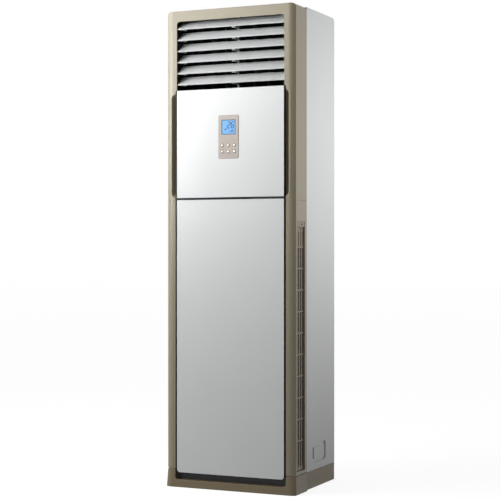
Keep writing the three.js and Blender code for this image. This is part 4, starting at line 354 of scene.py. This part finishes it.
display_glass, tree, shader, place = material("backlit_display", "#5890C8", 0.35, Specular_IOR_Level=0.3)
shader.inputs["Emission Color"].default_value = linear("#94CAF4")
shader.inputs["Emission Strength"].default_value = 0.34
cloud = add(tree, "ShaderNodeTexNoise", {"Vector": place, "Scale": per_mm(30)})
tree.links.new(blend_colours(tree, cloud.outputs["Fac"], "#5F97CE", "#5089C2"), shader.inputs["Base Color"])

# %% [markdown]
# ## Which finish goes where
# Each solid keeps its shape and takes the finish of the real piece, except that the outlet's foam
# liner, duct and vanes are near-black as painted shade.

# %% Give the solids their finishes
finish_of = {
    champagne: ["lower_front_frame", "upper_front_frame"],
    brown_champagne: ["base_front_cover"],
    champagne_steel: ["base_tray"],
    dark_champagne: ["left_intake_grille", "right_intake_grille"],
    gloss_white: ["upper_front_panel", "lower_front_panel"],
    black_chrome: ["panel_trim_strip"],
    pearl_beige: ["display_bezel"],
    pearl_button: [f"display_button_{k}" for k in range(1, 7)],
    display_glass: ["display_lcd"],
    laminate: ["display_circuit_board", "control_board"],
    # Painted shade: the near-black foam liner stands for the shade deep in the outlet.
    outlet_shade_black: ["outlet_foam_liner"],
    natural_white: ["drain_pan", "louvre_drive_motor", "vane_drive_motor"],
    satin_white: [f"louvre_{k}" for k in range(1, 7)] + ["louvre_centre_support"],
    # Painted shade: the duct and the vanes are near-black for the shade deep in the outlet.
    black_plastic_and_painted_shade: [f"vane_{k}" for k in range(1, 8)] + ["air_outlet_duct", "louvre_link_bar", "vane_link_bar"],
    net: ["left_air_filter", "right_air_filter"],
    powder_coat: ["left_side_panel", "right_side_panel", "top_cover"],
    zinc: ["upper_rear_panel", "lower_rear_panel", "fan_scroll", "inner_shelf",
           "control_box", "control_box_cover", "fan_motor", "fan_inlet_ring"],
    grey_nylon: ["fan_impeller"],
    fins: ["evaporator"],
    copper: ["suction_pipe", "liquid_pipe"],
    rubber: ["left_rear_foot", "right_rear_foot"],
}
for finish, names in finish_of.items():
    for name in names:
        nodes[name].data.materials.clear()
        nodes[name].data.materials.append(finish)
covered = sum(len(names) for names in finish_of.values())
print("finishes:", len(finish_of), "solids covered:", covered, "of", len(nodes))

# %% [markdown]
# ## Rounded edges
# No moulded or folded edge is truly sharp: a mould leaves about half a millimetre of radius, and a
# bent sheet leaves its own thickness. That thin rounding catches the light and makes an edge read.
# Each solid that shows is copied, its loose triangles are joined, its flat areas are made whole
# again, and a Bevel modifier rounds the edges sharper than a set angle. Curved walls stay smooth,
# and a Weighted Normal modifier keeps the shading of large flat faces level.
#
# Known faults: the modifier's clamp leaves the lower frame, base tray and bezel almost sharp, and
# the rounding makes the surface cross itself on the base cover, the upper frame, the centre support
# and both grilles. One radius for a whole solid is the cause, and a radius per edge would mend it.

# %% A helper that finishes a solid
def place_piece(name, mesh, body, finish):
    """Makes an object at the origin from a mesh, and lets it ride on a body."""
    made = bpy.data.objects.new(name, mesh)
    bpy.context.scene.collection.objects.link(made)
    mesh.materials.clear()
    mesh.materials.append(finish)
    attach(made, body)
    return made


finish_for = {name: finish for finish, names in finish_of.items() for name in names}


def softened(name, radius_mm, crease_degrees=32, segments=2):
    """Copies a solid, joins its triangles, and rounds each edge whose faces differ by more than
    the crease angle with an arc of the given radius."""
    mesh = nodes[name].data.copy()
    work = bmesh.new()
    work.from_mesh(mesh)
    bmesh.ops.remove_doubles(work, verts=work.verts, dist=2e-6)
    bmesh.ops.dissolve_limit(work, verts=work.verts, edges=work.edges, angle_limit=math.radians(0.3))
    work.to_mesh(mesh)
    work.free()
    mesh.polygons.foreach_set("use_smooth", [True] * len(mesh.polygons))
    mesh.set_sharp_from_angle(angle=math.radians(crease_degrees))
    made = place_piece(name + "_finished", mesh, nodes[name]["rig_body"], finish_for[name])
    rounding = made.modifiers.new("edge rounding", "BEVEL")
    rounding.width = radius_mm / 1000
    rounding.segments = segments
    rounding.limit_method = "ANGLE"
    rounding.angle_limit = math.radians(crease_degrees)
    rounding.harden_normals = True
    level = made.modifiers.new("level large faces", "WEIGHTED_NORMAL")
    level.keep_sharp = True
    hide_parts(name)
    return made


edge_radius_mm = {
    "base_front_cover": 1.6, "lower_front_frame": 1.6, "upper_front_frame": 1.6,
    "upper_front_panel": 0.6, "lower_front_panel": 0.6, "display_bezel": 0.9,
    "left_intake_grille": 0.4, "right_intake_grille": 0.4, "base_tray": 0.8,
    "left_side_panel": 0.6, "right_side_panel": 0.6, "top_cover": 0.6,
    "upper_rear_panel": 0.5, "lower_rear_panel": 0.5, "panel_trim_strip": 0.3,
    "louvre_centre_support": 0.4,
    **{f"louvre_{k}": 0.5 for k in range(1, 7)},
}
finished = {name: softened(name, radius) for name, radius in edge_radius_mm.items()}
print("solids given a Bevel modifier:", len(finished))

# %% [markdown]
# ## Two finishes on one piece
# The two front panels are white on their faces. Their sides are painted black as shade: they stand
# for the dark shadow line in the gap beside each panel. The back wall of the toe recess under the lower
# panel is painted black too, as the recess's shade. So the walls picked by their direction and place get
# a second finish.

# %% Paint shade on the panel sides and the toe recess
def second_finish(piece, finish, chosen):
    """Gives the polygons for which chosen(centres, normals) is true a second finish."""
    mesh = piece.data
    mesh.materials.append(finish)
    normals = np.empty(len(mesh.polygons) * 3, np.float32)
    centres = np.empty(len(mesh.polygons) * 3, np.float32)
    mesh.polygons.foreach_get("normal", normals)
    mesh.polygons.foreach_get("center", centres)
    picked = chosen(centres.reshape(-1, 3), normals.reshape(-1, 3))
    mesh.polygons.foreach_set("material_index", picked.astype(np.int32))
    print(piece.name, "black walls:", int(picked.sum()), "of", len(picked))


RECESS_DEPTH = 0.02
FACING = 0.7
recess_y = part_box("base_front_cover")[0].y + RECESS_DEPTH
# Painted shade: the panels' sides and the recess's back wall are black to stand for the shade there.
for name in ("upper_front_panel", "lower_front_panel"):
    second_finish(finished[name], black_plastic_and_painted_shade, lambda centres, normals: np.abs(normals[:, 0]) > FACING)
second_finish(finished["base_front_cover"], black_plastic_and_painted_shade, lambda centres, normals:
              (normals[:, 1] < -FACING) & (centres[:, 1] > recess_y))

# %% [markdown]
# ## Buttons
# Six pearly domes stand a little out of the display's bezel, and a flange behind the bezel's face
# holds each one in. A button is a profile turned about its axis: y = front + height u^2 gives the
# dome, and three points give the flange. Forty-eight steps round keep the highlight clean.

# %% Turn the buttons
def grid_faces(rows, columns, wrap):
    """Quads of a grid of rows by columns, with the columns closed on themselves if wrap is set."""
    i, j = np.meshgrid(np.arange(rows - 1), np.arange(columns if wrap else columns - 1), indexing="ij")
    k = (j + 1) % columns
    quads = [i * columns + j, i * columns + k, (i + 1) * columns + k, (i + 1) * columns + j]
    return np.stack(quads, -1).reshape(-1, 4)


def closed_mesh(name, points, faces, smooth_degrees=0, merge=0):
    """A mesh whose faces point outwards. Points closer than merge are joined, and edges flatter
    than smooth_degrees are shaded smooth."""
    mesh = bpy.data.meshes.new(name)
    mesh.from_pydata(points.reshape(-1, 3).tolist(), [], faces)
    work = bmesh.new()
    work.from_mesh(mesh)
    if merge:
        bmesh.ops.remove_doubles(work, verts=work.verts, dist=merge)
    bmesh.ops.recalc_face_normals(work, faces=work.faces)
    work.to_mesh(mesh)
    work.free()
    if smooth_degrees:
        mesh.polygons.foreach_set("use_smooth", [True] * len(mesh.polygons))
        mesh.set_sharp_from_angle(angle=math.radians(smooth_degrees))
    return mesh


def tubes_mesh(name, tubes, smooth_degrees):
    """One mesh of many tubes, given as points (tube, row, column, 3): the rows of each are closed
    rings, and both of its ends are capped."""
    count, rows, columns = tubes.shape[:3]
    first = np.arange(count) * rows * columns
    quads = grid_faces(rows, columns, True)[None] + first[:, None, None]
    caps = [list(range(k, k + columns)) for end in (0, (rows - 1) * columns) for k in first + end]
    return closed_mesh(name, tubes, quads.reshape(-1, 4).tolist() + caps, smooth_degrees)


def turned_along_y(profile, centre, steps=48):
    """Rings of a solid of revolution about a line along Y through (centre x, centre z):
    x = cx + r cos t, y = the profile's own y, z = cz + r sin t."""
    t = np.linspace(0, 2 * np.pi, steps, endpoint=False)
    radius, along = profile[:, :1], profile[:, 1:]
    x = centre[0] + radius * np.cos(t)
    z = centre[1] + radius * np.sin(t)
    return np.stack([x, along + 0 * t, z], -1)


DOME_HEIGHT = 0.0027
FLANGE_WIDTH = 0.0015
FLANGE_THICKNESS = 0.0013

for k in range(1, 7):
    name = f"display_button_{k}"
    low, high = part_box(name)
    middle = ((low.x + high.x) / 2, (low.z + high.z) / 2)
    flange, front, seat = (high.x - low.x) / 2, low.y, high.y
    radius = flange - FLANGE_WIDTH
    spread = np.linspace(0.02, 1, 14)
    dome = np.stack([radius * spread, front + DOME_HEIGHT * spread ** 2], 1)
    step_y = seat - FLANGE_THICKNESS
    foot = np.array([[radius, step_y], [flange, step_y], [flange, seat]])
    rings = turned_along_y(np.concatenate([dome, foot]), middle)
    made = place_piece(name + "_dome", tubes_mesh(name, rings[None], 40), nodes[name]["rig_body"],
                       pearl_button)
    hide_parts(name)
print("button dome radius in mm:", round(radius * 1000, 2))

# %% [markdown]
# ## The display's marks
# The window shows a set temperature in seven-segment figures, a ring for degrees, a fan sign and
# fan bars. Each figure is a set of six-sided bars, and each bar is a flat outline given a thickness.

# %% Draw the display's marks
lcd_low, lcd_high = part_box("display_lcd")
LCD_FACE_Y = lcd_low.y
MARK_THICKNESS = 0.00015
lcd_x = (lcd_low.x + lcd_high.x) / 2
lcd_z = (lcd_low.z + lcd_high.z) / 2


def bar_outline(start, end, width):
    """Six corners of a bar pointed at both ends, from start to end in the plane of x and z."""
    start, end = np.array(start, float), np.array(end, float)
    along = (end - start) / np.linalg.norm(end - start)
    across = np.array([-along[1], along[0]]) * width / 2
    tip = along * width / 2
    return np.array([start, start + tip + across, end - tip + across, end, end - tip - across,
                     start + tip - across])


def figure_bars(figure, centre, width, height, gap):
    """The lit bars of a seven-segment figure, as pairs of end points."""
    w, h = width / 2, height / 2
    ends = {
        "top": ((-w + gap, h), (w - gap, h)), "middle": ((-w + gap, 0), (w - gap, 0)),
        "bottom": ((-w + gap, -h), (w - gap, -h)),
        "upper_left": ((-w, gap), (-w, h - gap)), "upper_right": ((w, gap), (w, h - gap)),
        "lower_left": ((-w, -h + gap), (-w, -gap)), "lower_right": ((w, -h + gap), (w, -gap)),
    }
    lit = {2: "top upper_right middle lower_left bottom",
           6: "top upper_left middle lower_left lower_right bottom"}
    slant = 0.12
    return [tuple((centre[0] + x + slant * z, centre[1] + z) for x, z in ends[part])
            for part in lit[figure].split()]


# Places are to the right of the window's centre and above it, in metres like all sizes.
FIGURE_PLACES = {2: (0.0015, 0.0075), 6: (0.0165, 0.0075)}
FIGURE_WIDTH, FIGURE_HEIGHT, BAR_GAP, BAR_WIDTH = 0.0105, 0.0225, 0.0006, 0.0033
RING_PLACE, RING_RADIUS, RING_WIDTH = (0.0265, 0.0185), 0.0021, 0.0011
FAN_PLACE, FAN_ARM, FAN_WIDTH = (-0.0125, -0.0085), 0.0045, 0.0016
SPEED_X, SPEED_PITCH, SPEED_WIDTH = 0.0060, 0.0042, 0.0026
SPEED_FOOT, SPEED_TOP, SPEED_RISE = -0.0190, -0.0150, 0.0022

window_centre = np.array([lcd_x, lcd_z])
marks = []
for figure, offset in FIGURE_PLACES.items():
    for start, end in figure_bars(figure, window_centre + offset, FIGURE_WIDTH, FIGURE_HEIGHT, BAR_GAP):
        marks.append(bar_outline(start, end, BAR_WIDTH))
turn = np.linspace(0, 2 * np.pi, 9)[:, None]
ring = window_centre + RING_PLACE + RING_RADIUS * np.hstack([np.cos(turn), np.sin(turn)])
marks += [bar_outline(start, end, RING_WIDTH) for start, end in zip(ring[:-1], ring[1:])]
for angle in np.radians((0, 60, 120)):
    arm = FAN_ARM * np.array([np.cos(angle), np.sin(angle)])
    middle = window_centre + FAN_PLACE
    marks.append(bar_outline(middle - arm, middle + arm, FAN_WIDTH))
for step in range(4):
    x = lcd_x + SPEED_X + SPEED_PITCH * step
    top = lcd_z + SPEED_TOP + SPEED_RISE * step
    marks.append(bar_outline((x, lcd_z + SPEED_FOOT), (x, top), SPEED_WIDTH))


def flat_marks_mesh(name, outlines, front, thickness):
    """Prisms on outlines in x and z, from y = front to y = front + thickness."""
    count = len(outlines)
    corners = np.stack(outlines)
    sides = corners.shape[1]
    y = np.array([front, front + thickness])
    points = np.zeros((count, 2, sides, 3))
    points[..., 0] = corners[:, None, :, 0]
    points[..., 1] = y[None, :, None]
    points[..., 2] = corners[:, None, :, 1]
    base = (np.arange(count) * 2 * sides)[:, None, None]
    j = np.arange(sides)
    k = (j + 1) % sides
    walls = base + np.stack([j, k, k + sides, j + sides], -1)[None]
    caps = [(base[n, 0, 0] + order).tolist() for n in range(count) for order in (j[::-1], j + sides)]
    return closed_mesh(name, points, walls.reshape(-1, 4).tolist() + caps)


def ink_and_shade_layer(name, colour, tones, roughness, cloud_mm, **sockets):
    """A flat layer of one colour with a faint cloud in it, used for printed or switched ink and for the
    window's border, which is partly painted shade.
    """
    made, tree, shader, place = material(name, colour, roughness, **sockets)
    cloud = add(tree, "ShaderNodeTexNoise", {"Vector": place, "Scale": per_mm(cloud_mm)})
    tree.links.new(blend_colours(tree, cloud.outputs["Fac"], *tones), shader.inputs["Base Color"])
    return made


MARK_LIFT = 0.00002
display_ink = ink_and_shade_layer("dark_liquid_crystal", "#163F72", ("#194578", "#12386A"), 0.4, 12,
                          Specular_IOR_Level=0.2)
marks_front = LCD_FACE_Y - MARK_THICKNESS - MARK_LIFT
place_piece("display_figures", flat_marks_mesh("display_figures", marks, marks_front, MARK_THICKNESS),
            "cabinet", display_ink)
print("display marks:", len(marks))

# %% [markdown]
# ## The display's border and the shadow line round the bezel
# The window gets a dark border, partly a printed border and partly painted shade of the recess round
# the window. A thin dark ring round the bezel, where it stands on the panel, is painted shade for the
# bezel's shadow line. Both are flat frames: a four-cornered profile carried round a rounded rectangle.

# %% Carry the two frames round
def rounded_rectangle(half_x, half_z, radius, steps=5):
    """Points of a rounded rectangle: each corner's centre + radius (cos t, sin t), t over 90 degrees."""
    t = np.linspace(0, np.pi / 2, steps)[None] + np.arange(4)[:, None] * np.pi / 2
    sign_x, sign_z = np.array([1, -1, -1, 1])[:, None], np.array([1, 1, -1, -1])[:, None]
    x = sign_x * (half_x - radius) + radius * np.cos(t)
    z = sign_z * (half_z - radius) + radius * np.sin(t)
    return np.stack([x.ravel(), z.ravel()], -1)


def frame_mesh(name, centre, half, radius, width, front, back):
    """A flat frame of a width, inside a rounded rectangle: rows are the profile's four corners and
    columns go round, both closed on themselves."""
    outer = rounded_rectangle(half[0], half[1], radius)
    inner = rounded_rectangle(half[0] - width, half[1] - width, max(radius - width, 0.0001))
    rows = [(outer, front), (outer, back), (inner, back), (inner, front)]
    points = np.stack([np.stack([c[:, 0] + centre[0], np.full(len(c), y), c[:, 1] + centre[1]], -1)
                       for c, y in rows])
    points = np.concatenate([points, points[:1]])
    return closed_mesh(name, points, grid_faces(*points.shape[:2], True).tolist(), merge=1e-6)


def box_in_front(name, grow):
    """Centre and half sizes, in x and z, of a solid's box grown by a length on each side."""
    low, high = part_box(name)
    centre = ((low.x + high.x) / 2, (low.z + high.z) / 2)
    return centre, ((high.x - low.x) / 2 + grow, (high.z - low.z) / 2 + grow)


WINDOW_INSET = 0.0024
BORDER_CORNER, BORDER_WIDTH = 0.0005, 0.0030
BORDER_RISE, BORDER_SINK = 0.00022, 0.00005
centre, window = box_in_front("display_lcd", -WINDOW_INSET)
# The window's dark border is partly a printed border and partly painted shade of the recess round the window.
border_and_shade_ink = ink_and_shade_layer("window_border_and_recess_shade", "#3C5068", ("#40546C", "#384B62"), 0.45, 6)
border = frame_mesh("display_border", centre, window, BORDER_CORNER, BORDER_WIDTH,
                    LCD_FACE_Y - BORDER_RISE, LCD_FACE_Y + BORDER_SINK)
place_piece("display_border", border, "cabinet", border_and_shade_ink)

# Painted shade: a thin dark grey ring round the bezel stands for the bezel's shadow line on the panel.
SHADOW_LINE_SHOWS = 0.0010
SHADOW_LINE_CORNER, SHADOW_LINE_WIDTH = 0.006, 0.0025
SHADOW_LINE_RISE, SHADOW_LINE_SINK = 0.00028, 0.00015
centre, bezel = box_in_front("display_bezel", SHADOW_LINE_SHOWS)
panel_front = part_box("upper_front_panel")[0].y
bezel_shadow_finish = moulded("grey_painted_bezel_shadow", "#4C4744", "#433F3C", 0.8, 1.2, 0.3)
shadow_ring = frame_mesh("bezel_shadow_line", centre, bezel, SHADOW_LINE_CORNER, SHADOW_LINE_WIDTH,
                  panel_front - SHADOW_LINE_RISE, panel_front + SHADOW_LINE_SINK)
place_piece("bezel_shadow_line", shadow_ring, "cabinet", bezel_shadow_finish)
print("window in mm:", [round(v * 2000, 1) for v in window], "seal shows", SHADOW_LINE_SHOWS * 1000, "mm")

# %% [markdown]
# ## Screws
# On the real cabinet pan-head screws with a cross recess hold the rear sheets to the flanges of the
# side panels, and each intake grille has one dark screw in its well. Only heads are made. A head is
# a grid of rings and angles: its height is a low dome, less the recess where a point lies in the cross.
#
# Known fault: the rear heads are placed on the rear sheets' face, which at this x lies under the side
# panels' own flanges. So they are buried and don't show. The grilles' screws do show.

# %% Turn the screw heads
ARM_DEGREES = 13.0
ARM_REACH, HUB_REACH = 0.6, 0.14
DOME_DROP, RECESS_SHARE = 0.45, 0.5
RIM_SINK = 0.0002
quarter = np.array([-ARM_DEGREES, 0, ARM_DEGREES, ARM_DEGREES + 3, 30, 45, 60, 90 - ARM_DEGREES - 3])
SCREW_ANGLES = np.radians((quarter[None] + 90 * np.arange(4)[:, None]).ravel())
SCREW_RINGS = np.array([0.04, 0.14, 0.40, 0.60, 0.66, 0.80, 0.92, 0.98, 1.0, 1.0])


def screw_head(centre, outward, across, radius, height):
    """Points of one head. At ring u and angle t: along = height (1 - drop u^2), less a share of the
    height in the arms (u <= arm reach) and the hub (u <= hub reach); the last ring is sunk."""
    u, t = np.meshgrid(SCREW_RINGS, SCREW_ANGLES, indexing="ij")
    in_arm = np.abs((np.degrees(t) + 45) % 90 - 45) <= ARM_DEGREES + 0.1
    sunk = ((u <= ARM_REACH) & in_arm) | (u <= HUB_REACH)
    along = height * (1 - DOME_DROP * u ** 2) - RECESS_SHARE * height * sunk
    along[-1] = -RIM_SINK
    outward, across = np.array(outward, float), np.array(across, float)
    up = np.cross(outward, across)
    return (np.array(centre) + along[..., None] * outward
            + radius * u[..., None] * (np.cos(t)[..., None] * across + np.sin(t)[..., None] * up))


FLANGE_CENTRE = 0.258
SHEET_RISE = 0.0016
END_INSET = 0.025
REAR_RADIUS, REAR_HEIGHT = 0.0038, 0.0016
WELL_RADIUS, WELL_HEIGHT = 0.0029, 0.0014
WELL_PLACE = (0.2636, -0.1309, 1.0060)
SCREW_CREASE = 35

rear_heads = []
for name, rows in (("lower_rear_panel", 5), ("upper_rear_panel", 4)):
    low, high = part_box(name)
    for z in np.linspace(low.z + END_INSET, high.z - END_INSET, rows):
        for x in (-FLANGE_CENTRE, FLANGE_CENTRE):
            rear_heads.append(screw_head((x, high.y - SHEET_RISE, z), (0, 1, 0), (1, 0, 0),
                                         REAR_RADIUS, REAR_HEIGHT))
place_piece("rear_screws", tubes_mesh("rear_screws", np.stack(rear_heads), SCREW_CREASE), "cabinet",
            zinc)

for side, body in ((-1, "left_intake"), (1, "right_intake")):
    x, y, z = WELL_PLACE
    head = screw_head((side * x, y, z), (side, 0, 0), (0, 1, 0), WELL_RADIUS, WELL_HEIGHT)
    name = body + "_screw"
    place_piece(name, tubes_mesh(name, head[None], SCREW_CREASE), body, black_plastic_and_painted_shade)
print("screws:", len(rear_heads) + 2)

# %% [markdown]
# ## Close
# The view transform stays Standard, so that a colour shows as it was picked. The size of the
# finished model's box is printed.

# %% Finish
bpy.context.scene.view_settings.view_transform = "Standard"
bpy.context.view_layer.update()
low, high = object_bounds()
print("finished size in m:", [round(v, 4) for v in high - low])
